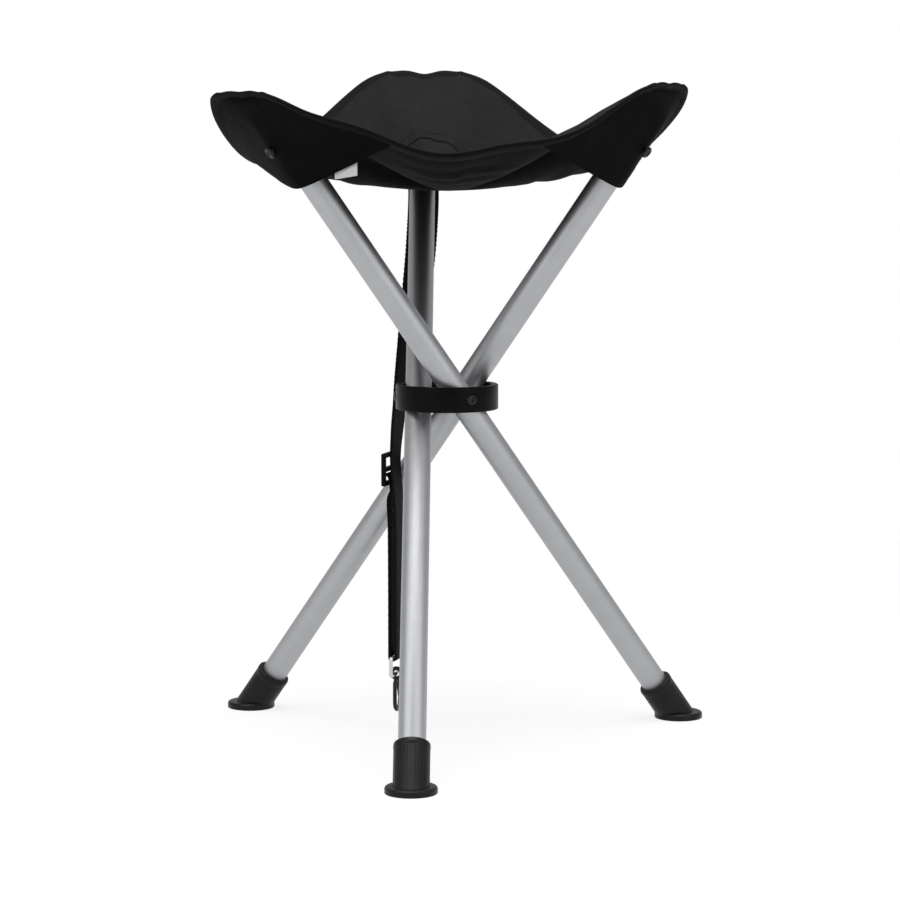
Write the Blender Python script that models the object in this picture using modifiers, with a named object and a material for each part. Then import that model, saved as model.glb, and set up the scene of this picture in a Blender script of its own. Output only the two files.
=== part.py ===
"""Folding tripod stool: three tubes that pivot in a hub ring and carry a slung cloth seat.

Metres, +Z up, the floor at z = 0 and the origin under the middle of the stool's box. Each
piece is laid out round the hub's axis and then moved by HUB_PLACE. Leg c leans straight back
at the top, leg a to the front left and leg b to the front right.
"""
import math

import bmesh
import bpy
from mathutils import Matrix, Vector

# Driving dimensions: frame
TUBE_RADIUS = 0.010
TUBE_WALL = 0.0012
LEAN = math.radians(37.0)
WAIST = 0.0215
HUB_HEIGHT = 0.261
TOP_LENGTH = 0.2625
SOLE_UNDER_TUBE = 0.013
RUNNING_GAP = 0.0003
RING_WALL = 0.005
RING_HEIGHT = 0.019
RING_CORNER = 0.0018
RING_PLAY = 0.0022
BOSS_RADIUS = 0.0065
SCREW_SHANK = 0.0020
SCREW_HEAD = 0.0042
SCREW_HEAD_HEIGHT = 0.0022
SCREW_SINK = 0.0014
HOLE_PLAY = 0.00025
NUT_RADIUS = 0.0040
NUT_HEIGHT = 0.0032
CAP_LIP = 0.0024
CAP_PLUG = 0.012
SLEEVE_WALL = 0.003
SLEEVE_TOP = 0.034
SLEEVE_RIM = 0.0006
SLEEVE_RIM_HEIGHT = 0.004
FLANGE_RADIUS = 0.01875
FLANGE_HEIGHT = 0.0052
FLANGE_EDGE = 0.0020
FOOT_SCREW_HEIGHT = 0.025
FOOT_SCREW_SHANK = 0.0016
FOOT_SCREW_HEAD = 0.0033
FOOT_SCREW_SINK = 0.0014

# Driving dimensions: seat
CLOTH = 0.0014
CLOTH_GAP = 0.0004
EAR_PAST_TUBE = 0.022
EAR_FLAT = 0.0297
TIP_OVER_TUBE = {"a": 0.0177, "b": 0.0243, "c": 0.0384}
TIP_DIP = 0.002
EDGE_REACH = 0.150
EDGE_BOW = -0.0114
SHOULDER = 0.094
EDGE_SAG = {"ab": 0.048, "bc": 0.070, "ac": 0.063}
SAG_CURVE = {"ab": 1.8, "bc": 1.35, "ac": 1.5}
EDGE_LEAN = {"ab": 0.0, "bc": 0.005, "ac": 0.011}
SEAT_CENTRE = 0.155
DISH_AT_EAR = 1.05
DISH_AT_EDGE = 2.0
OVER_TUBE = 0.0016
CREASE = 0.0021
OVER_TUBE_BLEND = 0.004
OVER_TUBE_TO = 0.97
NEAR_EDGE = 0.955
BINDING_HALF_WIDTH = 0.0033
BINDING_HALF_HEIGHT = 0.0019
HEM_FROM_MIDDLE = 0.053
MOUTH_DROP = 0.019
MOUTH_FROM_END = 0.052
RIDGE_PAST_TUBE = 0.010
RIVET_FROM_END = 0.0218
RIVET_HEAD = 0.0045
RIVET_HEAD_HEIGHT = 0.0022
RIVET_SHANK = 0.0019
LABEL_PLACE = 0.22
LABEL_WIDTH = 0.024
LABEL_LENGTH = 0.012
LABEL_THICKNESS = 0.0004

# Driving dimensions: carrying strap
WEBBING_WIDTH = 0.025
WEBBING = 0.0016
LAYER_GAP = 0.0036
WIRE_RADIUS = 0.0015
LOOP_HEIGHT = 0.017
LOOP_PLAY = 0.0008
STRAP_TURN = math.radians(75.0)
SLIDER_LENGTH = 0.025
SLIDER_BAR = 0.0036
SLIDER_CLEAR = 0.0006
SLIDER_RISE = 0.009
SLOT_PLAY = 0.001
HOOK_LENGTH = 0.030
HOOK_WIDTH = 0.016
HOOK_ROD = 0.0032
HOOK_NECK = 0.96
HOOK_PLAY = 0.0004
HOOK_BACK = 0.35
GATE_SIZE = 0.84
GATE_PLACE = 0.65

# Where the hub's axis stands, which centres the stool's box on the origin
HUB_PLACE = Vector((-0.0108, 0.0152, 0.0))

# Each leg's pivot direction round the hub, in degrees
LEGS = {"a": -60.0, "b": 60.0, "c": 180.0}

# Worked out from the above
TUBE_BORE = TUBE_RADIUS - TUBE_WALL
RING_BORE = WAIST + TUBE_RADIUS + RING_PLAY
RING_RADIUS = RING_BORE + RING_WALL
BOTTOM_LENGTH = (HUB_HEIGHT - SOLE_UNDER_TUBE) / math.cos(LEAN)
SLEEVE_RADIUS = TUBE_RADIUS + SLEEVE_WALL
SLEEVE_REACH = (HUB_HEIGHT - SLEEVE_TOP) / math.cos(LEAN)
FLOOR_REACH = HUB_HEIGHT / math.cos(LEAN)
RIVET_PLACE = TOP_LENGTH - RIVET_FROM_END
EAR_REACH = TOP_LENGTH * math.sin(LEAN) + EAR_PAST_TUBE
TIP_HEIGHT = {leg: TOP_LENGTH * math.cos(LEAN) + over for leg, over in TIP_OVER_TUBE.items()}
HOOK_EYE = WIRE_RADIUS + RUNNING_GAP + HOOK_ROD / 2 + HOOK_PLAY
SNUG = TUBE_RADIUS + CLOTH / 2 + CREASE

for old in list(bpy.data.objects):
    bpy.data.objects.remove(old, do_unlink=True)


def collection(name):
    made = bpy.data.collections.new(name)
    bpy.context.scene.collection.children.link(made)
    return made


PARTS = collection("tripod_stool")
CUTTERS = collection("cutters")


def material(name, colour, roughness, metallic=0.0):
    made = bpy.data.materials.get(name) or bpy.data.materials.new(name)
    made.use_nodes = True
    made.diffuse_color = (*colour, 1.0)
    shader = made.node_tree.nodes["Principled BSDF"]
    shader.inputs["Base Color"].default_value = (*colour, 1.0)
    shader.inputs["Roughness"].default_value = roughness
    shader.inputs["Metallic"].default_value = metallic
    return made


ALUMINIUM = (0.62, 0.62, 0.63), 0.38, 1.0
BLACK_PLASTIC = (0.018, 0.018, 0.019), 0.42, 0.0
BLACK_STEEL = (0.03, 0.03, 0.032), 0.30, 0.8
BLACK_CLOTH = (0.012, 0.012, 0.013), 0.85, 0.0
WHITE_CLOTH = (0.80, 0.80, 0.80), 0.7, 0.0
CHROME = (0.75, 0.75, 0.76), 0.12, 1.0


def add(name, mesh, finish, parent=None):
    """Puts a mesh in the stool as one named piece with its own material."""
    made = bpy.data.objects.new(name, mesh)
    PARTS.objects.link(made)
    made.data.materials.clear()
    made.data.materials.append(material(name + "_finish", *finish))
    made.parent = parent
    return made


def mesh_from(build, name):
    """Runs build on a fresh bmesh and returns it as a mesh."""
    work = bmesh.new()
    build(work)
    bmesh.ops.recalc_face_normals(work, faces=work.faces)
    mesh = bpy.data.meshes.new(name)
    work.to_mesh(mesh)
    work.free()
    return mesh


def turned(name, profile, steps, matrix=None):
    """Turns a profile of (radius, height) points round Z and returns a plain mesh.

    A profile that starts and ends on the axis gives a solid; a closed one gives a ring.
    """
    mesh = bpy.data.meshes.new(name)
    closed = profile[0][0] > 0.0
    edges = [(i, i + 1) for i in range(len(profile) - 1)]
    if closed:
        edges.append((len(profile) - 1, 0))
    mesh.from_pydata([(radius, 0.0, height) for radius, height in profile], edges, [])
    blank = bpy.data.objects.new(name, mesh)
    CUTTERS.objects.link(blank)
    screw = blank.modifiers.new("turn", "SCREW")
    screw.steps = steps
    screw.render_steps = steps
    screw.use_merge_vertices = True
    screw.merge_threshold = 0.00001
    made = evaluated(blank, name)
    work = bmesh.new()
    work.from_mesh(made)
    bmesh.ops.remove_doubles(work, verts=work.verts, dist=0.000001)
    bmesh.ops.recalc_face_normals(work, faces=work.faces)
    if matrix is not None:
        bmesh.ops.transform(work, matrix=matrix, verts=work.verts)
    work.to_mesh(made)
    work.free()
    bpy.data.objects.remove(blank, do_unlink=True)
    return made


def evaluated(source, name):
    """The mesh of an object with its modifiers, as the viewport shows it."""
    bpy.context.view_layer.update()
    graph = bpy.context.evaluated_depsgraph_get()
    made = bpy.data.meshes.new_from_object(source.evaluated_get(graph))
    made.name = name
    return made


def joined(name, mesh, others, operation):
    """Unites or cuts a mesh with other meshes and returns the result."""
    base = bpy.data.objects.new(name, mesh)
    CUTTERS.objects.link(base)
    tools = []
    for other in others:
        tool = bpy.data.objects.new(name + "_tool", other)
        CUTTERS.objects.link(tool)
        tools.append(tool)
        step = base.modifiers.new("join", "BOOLEAN")
        step.operation = operation
        step.solver = "EXACT"
        step.object = tool
    made = evaluated(base, name)
    for gone in [base] + tools:
        bpy.data.objects.remove(gone, do_unlink=True)
    return made


def cut(name, mesh, *others):
    return joined(name, mesh, others, "DIFFERENCE")


def unite(name, mesh, *others):
    return joined(name, mesh, others, "UNION")


def rod(radius, low, high, matrix, sides=24):
    """A plain cylinder from low to high along Z, then placed by the matrix."""
    def build(work):
        bmesh.ops.create_cone(work, cap_ends=True, segments=sides, radius1=radius, radius2=radius,
                              depth=high - low)
        half_side = Matrix.Rotation(math.pi / sides, 4, "Z")
        middle = Matrix.Translation((0.0, 0.0, (high + low) / 2.0))
        bmesh.ops.transform(work, matrix=matrix @ middle @ half_side, verts=work.verts)
    return mesh_from(build, "rod")


def box(size, matrix):
    def build(work):
        bmesh.ops.create_cube(work, size=1.0)
        bmesh.ops.scale(work, vec=size, verts=work.verts)
        bmesh.ops.transform(work, matrix=matrix, verts=work.verts)
    return mesh_from(build, "box")


def arc(centre_r, centre_h, radius, start, end, count):
    """Points on an arc of a profile, from start to end in degrees."""
    points = []
    for i in range(count + 1):
        angle = math.radians(start + (end - start) * i / count)
        points.append((centre_r + radius * math.cos(angle), centre_h + radius * math.sin(angle)))
    return points


# A leg is built with its pivot at the origin, its tube along Z, its pivot screw along X
# and the side that faces down and away from the seat at -Y.
ALONG_X = Matrix.Rotation(math.radians(90.0), 4, "Y")
ALONG_MINUS_Y = Matrix.Rotation(math.radians(90.0), 4, "X")


def leg_matrix(leg):
    turn = Matrix.Rotation(math.radians(LEGS[leg]), 4, "Z")
    place = Matrix.Translation((WAIST, 0.0, HUB_HEIGHT))
    return turn @ place @ Matrix.Rotation(LEAN, 4, "X")


def pivot(leg):
    """The empty on a leg's joint axis, which carries the leg's pieces."""
    made = bpy.data.objects.new("pivot_" + leg, None)
    PARTS.objects.link(made)
    made.empty_display_size = 0.03
    made.matrix_world = leg_matrix(leg)
    return made


def hub_ring():
    half = RING_HEIGHT / 2.0
    corner = RING_CORNER
    profile = arc(RING_RADIUS - corner, half - corner, corner, 90, 0, 2)
    profile += arc(RING_RADIUS - corner, corner - half, corner, 0, -90, 2)
    profile += arc(RING_BORE + corner / 2, corner / 2 - half, corner / 2, -90, -180, 1)
    profile += arc(RING_BORE + corner / 2, half - corner / 2, corner / 2, 180, 90, 1)
    mesh = turned("hub_ring", profile, 54)
    bosses = []
    holes = []
    for leg in LEGS:
        turn = Matrix.Rotation(math.radians(LEGS[leg]), 4, "Z") @ ALONG_X
        face = WAIST + TUBE_RADIUS + RUNNING_GAP
        bosses.append(rod(BOSS_RADIUS, face, RING_BORE + RING_WALL / 2, turn))
        holes.append(rod(SCREW_SHANK + HOLE_PLAY, WAIST, RING_RADIUS * 1.1, turn, 16))
        seat = RING_RADIUS - SCREW_SINK
        holes.append(rod(SCREW_HEAD + HOLE_PLAY, seat, RING_RADIUS * 1.1, turn, 24))
    mesh = unite("hub_ring", mesh, *bosses)
    mesh = cut("hub_ring", mesh, *holes)
    made = add("hub_ring", mesh, BLACK_PLASTIC)
    made.location = (0.0, 0.0, HUB_HEIGHT)


def cross_recess(size, depth, top):
    """Two crossed bars that cut a screw head's recess."""
    bars = []
    for turn in (0.0, 90.0):
        def bar(work):
            bmesh.ops.create_cube(work, size=1.0)
            bmesh.ops.scale(work, vec=(size, size * 0.24, depth * 2.0), verts=work.verts)
            bmesh.ops.translate(work, vec=(0.0, 0.0, top), verts=work.verts)
            bmesh.ops.rotate(work, matrix=Matrix.Rotation(math.radians(turn), 3, "Z"), verts=work.verts)
        bars.append(mesh_from(bar, "bar"))
    return bars


def headed_screw(name, head, head_height, shank, length, matrix, recess=True):
    """A pan head at z = 0 and up, with its shank below it."""
    profile = [(0.0, head_height)]
    profile += arc(head - head_height * 0.6, head_height * 0.4, head_height * 0.6, 90, 0, 2)
    profile += [(head, 0.0), (shank, 0.0), (shank, -length), (0.0, -length)]
    mesh = turned(name, profile, 16)
    if recess:
        mesh = cut(name, mesh, *cross_recess(head * 1.0, head_height * 0.55, head_height))
    mesh.transform(matrix)
    return mesh


def pivot_screw(leg):
    out = Matrix.Rotation(math.radians(LEGS[leg]), 4, "Z") @ ALONG_X
    under = RING_RADIUS - SCREW_SINK + RUNNING_GAP
    nut_end = WAIST - TUBE_RADIUS - RUNNING_GAP - NUT_HEIGHT
    place = out @ Matrix.Translation((0.0, 0.0, under))
    mesh = headed_screw("screw", SCREW_HEAD, SCREW_HEAD_HEIGHT, SCREW_SHANK, under - nut_end, place)
    made = add("pivot_screw_" + leg, mesh, BLACK_STEEL)
    made.location = (0.0, 0.0, HUB_HEIGHT)


def pivot_nut(leg):
    out = Matrix.Rotation(math.radians(LEGS[leg]), 4, "Z") @ ALONG_X
    high = WAIST - TUBE_RADIUS - RUNNING_GAP
    low = high - NUT_HEIGHT
    hexagon = rod(NUT_RADIUS, low, high, out, 6)
    bore = rod(SCREW_SHANK + HOLE_PLAY, low - NUT_HEIGHT, high + NUT_HEIGHT, out, 16)
    made = add("pivot_nut_" + leg, cut("pivot_nut_" + leg, hexagon, bore), BLACK_STEEL)
    made.location = (0.0, 0.0, HUB_HEIGHT)


def leg_tube(leg, parent):
    top = TOP_LENGTH
    low = -BOTTOM_LENGTH
    inner = TUBE_BORE
    profile = [(TUBE_RADIUS, top), (TUBE_RADIUS, low), (inner, low), (inner, top)]
    mesh = turned("leg_tube_" + leg, profile, 32)
    through = TUBE_RADIUS * 2.0
    holes = [rod(SCREW_SHANK + HOLE_PLAY, -through, through, ALONG_X, 16)]
    rivet = Matrix.Translation((0.0, 0.0, RIVET_PLACE)) @ ALONG_MINUS_Y
    holes.append(rod(RIVET_SHANK + HOLE_PLAY, 0.0, through, rivet, 16))
    screw = Matrix.Translation((0.0, 0.0, foot_screw_place())) @ ALONG_MINUS_Y
    holes.append(rod(FOOT_SCREW_SHANK + HOLE_PLAY, 0.0, through, screw, 16))
    add("leg_tube_" + leg, cut("leg_tube_" + leg, mesh, *holes), ALUMINIUM, parent)


def foot_screw_place():
    return -(HUB_HEIGHT - FOOT_SCREW_HEIGHT) / math.cos(LEAN)


def tube_cap(leg, parent):
    lip = TOP_LENGTH + RUNNING_GAP
    plug = TUBE_BORE - RUNNING_GAP
    round_off = CAP_LIP * 0.7
    profile = [(0.0, lip + CAP_LIP)]
    profile += arc(TUBE_RADIUS - round_off, lip + CAP_LIP - round_off, round_off, 90, 0, 2)
    profile += [(TUBE_RADIUS, lip), (plug, lip), (plug, lip - CAP_PLUG), (0.0, lip - CAP_PLUG)]
    add("tube_cap_" + leg, turned("tube_cap_" + leg, profile, 24), BLACK_PLASTIC, parent)


def foot(leg, parent):
    """A sleeve along the tube that stands on a level round flange."""
    top = -SLEEVE_REACH
    rim = SLEEVE_RADIUS + SLEEVE_RIM
    low = -FLOOR_REACH - SLEEVE_RADIUS
    soft = SLEEVE_WALL * 0.4
    profile = [(0.0, top)]
    profile += arc(rim - soft, top - soft, soft, 90, 0, 2)
    profile += [(rim, top - SLEEVE_RIM_HEIGHT), (SLEEVE_RADIUS, top - SLEEVE_RIM_HEIGHT - SLEEVE_RIM)]
    profile += [(SLEEVE_RADIUS, low), (0.0, low)]
    sleeve = turned("sleeve", profile, 28)
    level = Matrix.Translation((0.0, 0.0, -FLOOR_REACH)) @ Matrix.Rotation(-LEAN, 4, "X")
    edge = FLANGE_EDGE
    disc = [(0.0, FLANGE_HEIGHT)]
    disc += arc(FLANGE_RADIUS - edge, FLANGE_HEIGHT - edge, edge, 90, 0, 2)
    disc += [(FLANGE_RADIUS, edge / 4), (FLANGE_RADIUS - edge / 4, 0.0), (0.0, 0.0)]
    flange = turned("flange", disc, 36, level)
    under = Matrix.Translation((0.0, 0.0, FLANGE_HEIGHT / 2 - FLANGE_RADIUS))
    ground = box((FLANGE_RADIUS * 4, FLANGE_RADIUS * 4, FLANGE_RADIUS * 2), level @ under)
    mesh = unite("foot_" + leg, cut("sleeve", sleeve, ground), flange)
    socket = TUBE_RADIUS + RUNNING_GAP
    tools = [rod(socket, -BOTTOM_LENGTH - RUNNING_GAP, -SLEEVE_REACH / 2, Matrix(), 30)]
    screw = Matrix.Translation((0.0, 0.0, foot_screw_place())) @ ALONG_MINUS_Y
    tools.append(rod(FOOT_SCREW_SHANK + HOLE_PLAY, 0.0, SLEEVE_RADIUS * 2, screw, 16))
    seat = SLEEVE_RADIUS - FOOT_SCREW_SINK
    tools.append(rod(FOOT_SCREW_HEAD + HOLE_PLAY, seat, SLEEVE_RADIUS * 2, screw, 20))
    add("foot_" + leg, cut("foot_" + leg, mesh, *tools), BLACK_PLASTIC, parent)


def foot_screw(leg, parent):
    under = SLEEVE_RADIUS - FOOT_SCREW_SINK + RUNNING_GAP
    place = Matrix.Translation((0.0, 0.0, foot_screw_place())) @ ALONG_MINUS_Y
    place = place @ Matrix.Translation((0.0, 0.0, under))
    length = under - TUBE_BORE + SLEEVE_WALL
    mesh = headed_screw("screw", FOOT_SCREW_HEAD, FOOT_SCREW_SINK, FOOT_SCREW_SHANK, length, place)
    add("foot_screw_" + leg, mesh, BLACK_STEEL, parent)


# The seat is laid out in each ear's own frame: reach is out from the stool's axis and side
# is across it. Heights are above the hub. An ear points along its tube's end.
EAR_TURN = math.atan2(WAIST, EAR_REACH)


def ear_direction(leg):
    return math.radians(LEGS[leg] - 90.0) + EAR_TURN


def edge_place(along):
    """A point of the long edge, a distance along it from its middle, as (reach, side)."""
    out = EDGE_REACH + EDGE_BOW * (along / SHOULDER) ** 2
    turn = math.radians(30.0)
    reach = along * math.cos(turn) + out * math.sin(turn)
    side = out * math.cos(turn) - along * math.sin(turn)
    return reach, side


def half_outline(start, edge_steps, corner_steps, tip_steps):
    """Half of an ear's outline, from the long edge to the tip, as (reach, side) points."""
    points = [edge_place(start + (SHOULDER - start) * i / edge_steps) for i in range(edge_steps)]
    shoulder = Vector(edge_place(SHOULDER))
    before = Vector(edge_place(SHOULDER * 0.99))
    slope = (shoulder - before).normalized()
    run = (EAR_REACH - shoulder.x) / slope.x
    corner = shoulder + slope * run
    tip = Vector((EAR_REACH, EAR_FLAT))
    for i in range(corner_steps):
        t = i / corner_steps
        point = shoulder * (1 - t) ** 2 + corner * 2 * t * (1 - t) + tip * t * t
        points.append(tuple(point))
    for i in range(tip_steps + 1):
        points.append((EAR_REACH, EAR_FLAT * (1.0 - i / tip_steps)))
    return points


def way_up(reach, side):
    """How far along its edge an outline point lies, from the edge's middle, 0, to the ear, 1."""
    turn = math.radians(30.0)
    along = reach * math.cos(turn) - side * math.sin(turn)
    full = EAR_REACH * math.cos(turn) - EAR_FLAT * math.sin(turn)
    return min(1.0, max(0.0, along) / full)


def outline_point(leg, reach, side):
    """The point's world place and its rise; side is positive towards the ear on its left.

    The two edges that run to the back ear hang a little fuller towards it.
    """
    order = list(LEGS)
    step = 1 if side > 0 else 2
    beside = order[(order.index(leg) + step) % 3]
    edge = "".join(sorted((leg, beside)))
    share = way_up(reach, abs(side))
    rise = share ** SAG_CURVE[edge]
    middle = (TIP_HEIGHT[leg] + TIP_HEIGHT[beside]) / 2.0 - EDGE_SAG[edge]
    lean = EDGE_LEAN[edge] * (1.0 if leg == "c" else -1.0)
    height = middle + (TIP_HEIGHT[leg] - middle) * rise + lean * share * (1.0 - share ** 2) ** 2
    if abs(side) < EAR_FLAT:
        height -= TIP_DIP * (1.0 - (side / EAR_FLAT) ** 2)
    turn = ear_direction(leg)
    x = reach * math.cos(turn) - side * math.sin(turn)
    y = reach * math.sin(turn) + side * math.cos(turn)
    return Vector((x, y, HUB_HEIGHT + height)), rise


def ear_outline(leg, start, edge_steps, corner_steps, tip_steps):
    """An ear's outline from its right-hand edge round the tip to its left-hand edge."""
    half = half_outline(start, edge_steps, corner_steps, tip_steps)
    places = [(reach, -side) for reach, side in half]
    places += [(reach, side) for reach, side in reversed(half[:-1])]
    return [outline_point(leg, reach, side) for reach, side in places]


def whole_outline(edge_steps=5, corner_steps=3, tip_steps=2):
    """The seat's closed outline, anticlockwise from above."""
    points = []
    for leg in LEGS:
        points += ear_outline(leg, 0.0, edge_steps, corner_steps, tip_steps)[:-1]
    return points


def over_tube(leg, x, y):
    """The least height of the cloth at x, y that clears leg's tube end, or None."""
    turn = math.radians(LEGS[leg])
    side = x * math.cos(turn) + y * math.sin(turn) - WAIST
    run = x * math.sin(turn) - y * math.cos(turn)
    clear = TUBE_RADIUS + CLOTH / 2 + OVER_TUBE
    if abs(side) >= clear or run < 0.0:
        return None
    over = math.sqrt(clear * clear - side * side)
    end = TOP_LENGTH + CAP_LIP + RUNNING_GAP + CLOTH / 2 + OVER_TUBE
    on_side = run / math.tan(LEAN) + over / math.sin(LEAN)
    on_end = end * math.cos(LEAN) - (run - end * math.sin(LEAN)) * math.tan(LEAN)
    return HUB_HEIGHT + min(on_side, on_end)


def seat_point(rim, rise, part):
    """The seat's surface, part of the way from its centre to a point of its outline."""
    centre = HUB_HEIGHT + SEAT_CENTRE
    power = DISH_AT_EDGE + (DISH_AT_EAR - DISH_AT_EDGE) * rise
    x = rim.x * part
    y = rim.y * part
    z = centre + (rim.z - centre) * part ** power
    for leg in LEGS:
        least = over_tube(leg, x, y)
        if least is not None and part < OVER_TUBE_TO:
            lift = least - z
            z += (lift + math.sqrt(lift * lift + OVER_TUBE_BLEND ** 2)) / 2.0
    return Vector((x, y, z))


def edge_frames(outline, closed=False):
    """At each outline point: the way out across the edge, and the cloth's normal."""
    frames = []
    last = len(outline) - 1
    for i, (rim, rise) in enumerate(outline):
        after = (i + 1) % len(outline) if closed else min(i + 1, last)
        before = i - 1 if closed else max(i - 1, 0)
        ahead = (outline[after][0] - outline[before][0]).normalized()
        inward = (seat_point(rim, rise, NEAR_EDGE) - rim).normalized()
        up = ahead.cross(inward).normalized()
        frames.append((up.cross(ahead).normalized() * -1.0, up))
    return frames


def sheet(name, rows, closed, finish, parent=None):
    """A grid of rows of points as an open surface with the cloth's thickness."""
    def build(work):
        grid = [[work.verts.new(point) for point in row] for row in rows]
        for near, far in zip(grid, grid[1:]):
            count = len(near)
            last = count if closed else count - 1
            for i in range(last):
                j = (i + 1) % count
                work.faces.new((near[i], near[j], far[j], far[i]))
        if closed:
            middle = work.verts.new(sum((v.co for v in grid[0]), Vector()) / len(grid[0]))
            for i in range(len(grid[0])):
                work.faces.new((middle, grid[0][(i + 1) % len(grid[0])], grid[0][i]))
        bmesh.ops.remove_doubles(work, verts=work.verts, dist=0.00001)
    made = add(name, mesh_from(build, name), finish, parent)
    thick = made.modifiers.new("cloth", "SOLIDIFY")
    thick.thickness = CLOTH
    thick.offset = 0.0
    thick.use_even_offset = True
    return made


def seat_cloth():
    outline = whole_outline()
    frames = edge_frames(outline, True)
    lift = (CLOTH + CLOTH_GAP) / 2.0
    rings = 7
    rows = []
    for k in range(1, rings + 1):
        row = []
        for (rim, rise), (out, up) in zip(outline, frames):
            edge = rim - out * (BINDING_HALF_WIDTH + RUNNING_GAP)
            share = k / rings
            if k == rings:
                point = edge
            else:
                last = math.hypot(edge.x, edge.y) / math.hypot(rim.x, rim.y)
                point = seat_point(rim, rise, share * last)
            row.append(point + up * lift * share)
        rows.append(row)
    sheet("seat_cloth", rows, True, BLACK_CLOTH)


def tube_plane(leg, along, below):
    """A point in a leg's own plane: along the tube from the pivot, and below its axis."""
    return leg_matrix(leg) @ Vector((0.0, -below, along))


def ridge_line(leg):
    """The pocket's lowest line, from its mouth to the tip, as places along the tube."""
    tip = outline_point(leg, EAR_REACH, 0.0)[0]
    local = leg_matrix(leg).inverted() @ tip
    near_tip = BINDING_HALF_WIDTH * 2.4
    return [
        (TOP_LENGTH - MOUTH_FROM_END, MOUTH_DROP),
        (RIVET_PLACE - RIVET_HEAD * 2, SNUG),
        (RIVET_PLACE + RIVET_HEAD * 2, SNUG),
        (TOP_LENGTH + RIDGE_PAST_TUBE, SNUG),
        (local.z - near_tip, -local.y + near_tip / 2),
    ]


def on_ridge(leg, along):
    line = ridge_line(leg)
    for (a0, n0), (a1, n1) in zip(line, line[1:]):
        if along <= a1:
            share = max(0.0, (along - a0) / (a1 - a0))
            return tube_plane(leg, max(along, a0), n0 + (n1 - n0) * share)
    return tube_plane(leg, *line[-1])


def corner_pocket(leg, parent):
    """The panel under an ear: two faces from the bound edge to the ridge below the tube."""
    outline = ear_outline(leg, HEM_FROM_MIDDLE, 4, 3, 2)
    frames = edge_frames(outline)
    inverse = leg_matrix(leg).inverted()
    line = ridge_line(leg)
    drop = (CLOTH + CLOTH_GAP) / 2.0
    edges = []
    along = []
    for (rim, rise), (out, up) in zip(outline, frames):
        edges.append(rim - out * (BINDING_HALF_WIDTH + CLOTH) - up * drop)
        along.append((inverse @ rim).z)
    half = len(outline) // 2
    steps = 4
    rows = []
    for i in range(half + 1):
        other = len(outline) - 1 - i
        reached = along[i] + along[other] - along[0] - along[-1]
        share = reached / (2.0 * along[half] - along[0] - along[-1])
        ridge = on_ridge(leg, line[0][0] + (line[-1][0] - line[0][0]) * share)
        left = [edges[i].lerp(ridge, k / steps) for k in range(steps + 1)]
        right = [edges[other].lerp(ridge, k / steps) for k in range(steps)]
        rows.append([inverse @ point for point in left + right[::-1]])
    made = sheet("corner_pocket_" + leg, rows, False, BLACK_CLOTH, parent)
    place = Matrix.Translation((0.0, 0.0, RIVET_PLACE)) @ ALONG_MINUS_Y
    hole = rod(RIVET_SHANK + HOLE_PLAY, 0.0, TUBE_RADIUS * 2.2, place, 16)
    thick = evaluated(made, made.name)
    made.modifiers.clear()
    made.data = cut(made.name, thick, hole)


def edge_binding():
    outline = whole_outline(6, 4, 2)
    frames = edge_frames(outline, True)
    sides = 6

    def build(work):
        loops = []
        for (rim, rise), (out, up) in zip(outline, frames):
            loop = []
            for i in range(sides):
                angle = 2.0 * math.pi * i / sides
                across = out * (BINDING_HALF_WIDTH * math.cos(angle))
                above = up * (BINDING_HALF_HEIGHT * math.sin(angle) / math.sin(math.pi / 3))
                loop.append(work.verts.new(rim + across + above))
            loops.append(loop)
        for near, far in zip(loops, loops[1:] + loops[:1]):
            for i in range(sides):
                j = (i + 1) % sides
                work.faces.new((near[i], near[j], far[j], far[i]))
    add("edge_binding", mesh_from(build, "edge_binding"), BLACK_CLOTH)


def pocket_rivet(leg, parent):
    under = SNUG + CLOTH / 2 + RUNNING_GAP * 3
    bulb = RIVET_SHANK + HOLE_PLAY * 2
    inner = TUBE_BORE - RUNNING_GAP * 3
    profile = [(0.0, under + RIVET_HEAD_HEIGHT)]
    profile += arc(RIVET_HEAD - RIVET_HEAD_HEIGHT * 0.8, under + RIVET_HEAD_HEIGHT * 0.2,
                   RIVET_HEAD_HEIGHT * 0.8, 90, 0, 3)
    profile += [(RIVET_HEAD, under), (RIVET_SHANK, under), (RIVET_SHANK, inner), (bulb, inner)]
    profile += [(bulb, inner - RIVET_SHANK), (0.0, inner - RIVET_SHANK)]
    place = Matrix.Translation((0.0, 0.0, RIVET_PLACE)) @ ALONG_MINUS_Y
    add("pocket_rivet_" + leg, turned("pocket_rivet_" + leg, profile, 16, place), BLACK_STEEL, parent)


def care_label():
    """A blank label that hangs from the hem of the front left pocket."""
    hem = outline_point("a", *edge_place(HEM_FROM_MIDDLE))[0]
    mouth = on_ridge("a", 0.0)
    start = hem.lerp(mouth, LABEL_PLACE)
    end = hem.lerp(mouth, LABEL_PLACE + LABEL_WIDTH / (mouth - hem).length)
    down = Vector((0.0, 0.0, -LABEL_LENGTH))
    drop = Vector((0.0, 0.0, -CLOTH))

    def build(work):
        corners = [start + drop, end + drop, end + drop + down, start + drop + down]
        work.faces.new([work.verts.new(corner) for corner in corners])
    made = add("care_label", mesh_from(build, "care_label"), WHITE_CLOTH)
    thick = made.modifiers.new("label", "SOLIDIFY")
    thick.thickness = LABEL_THICKNESS
    thick.offset = 0.0


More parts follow.
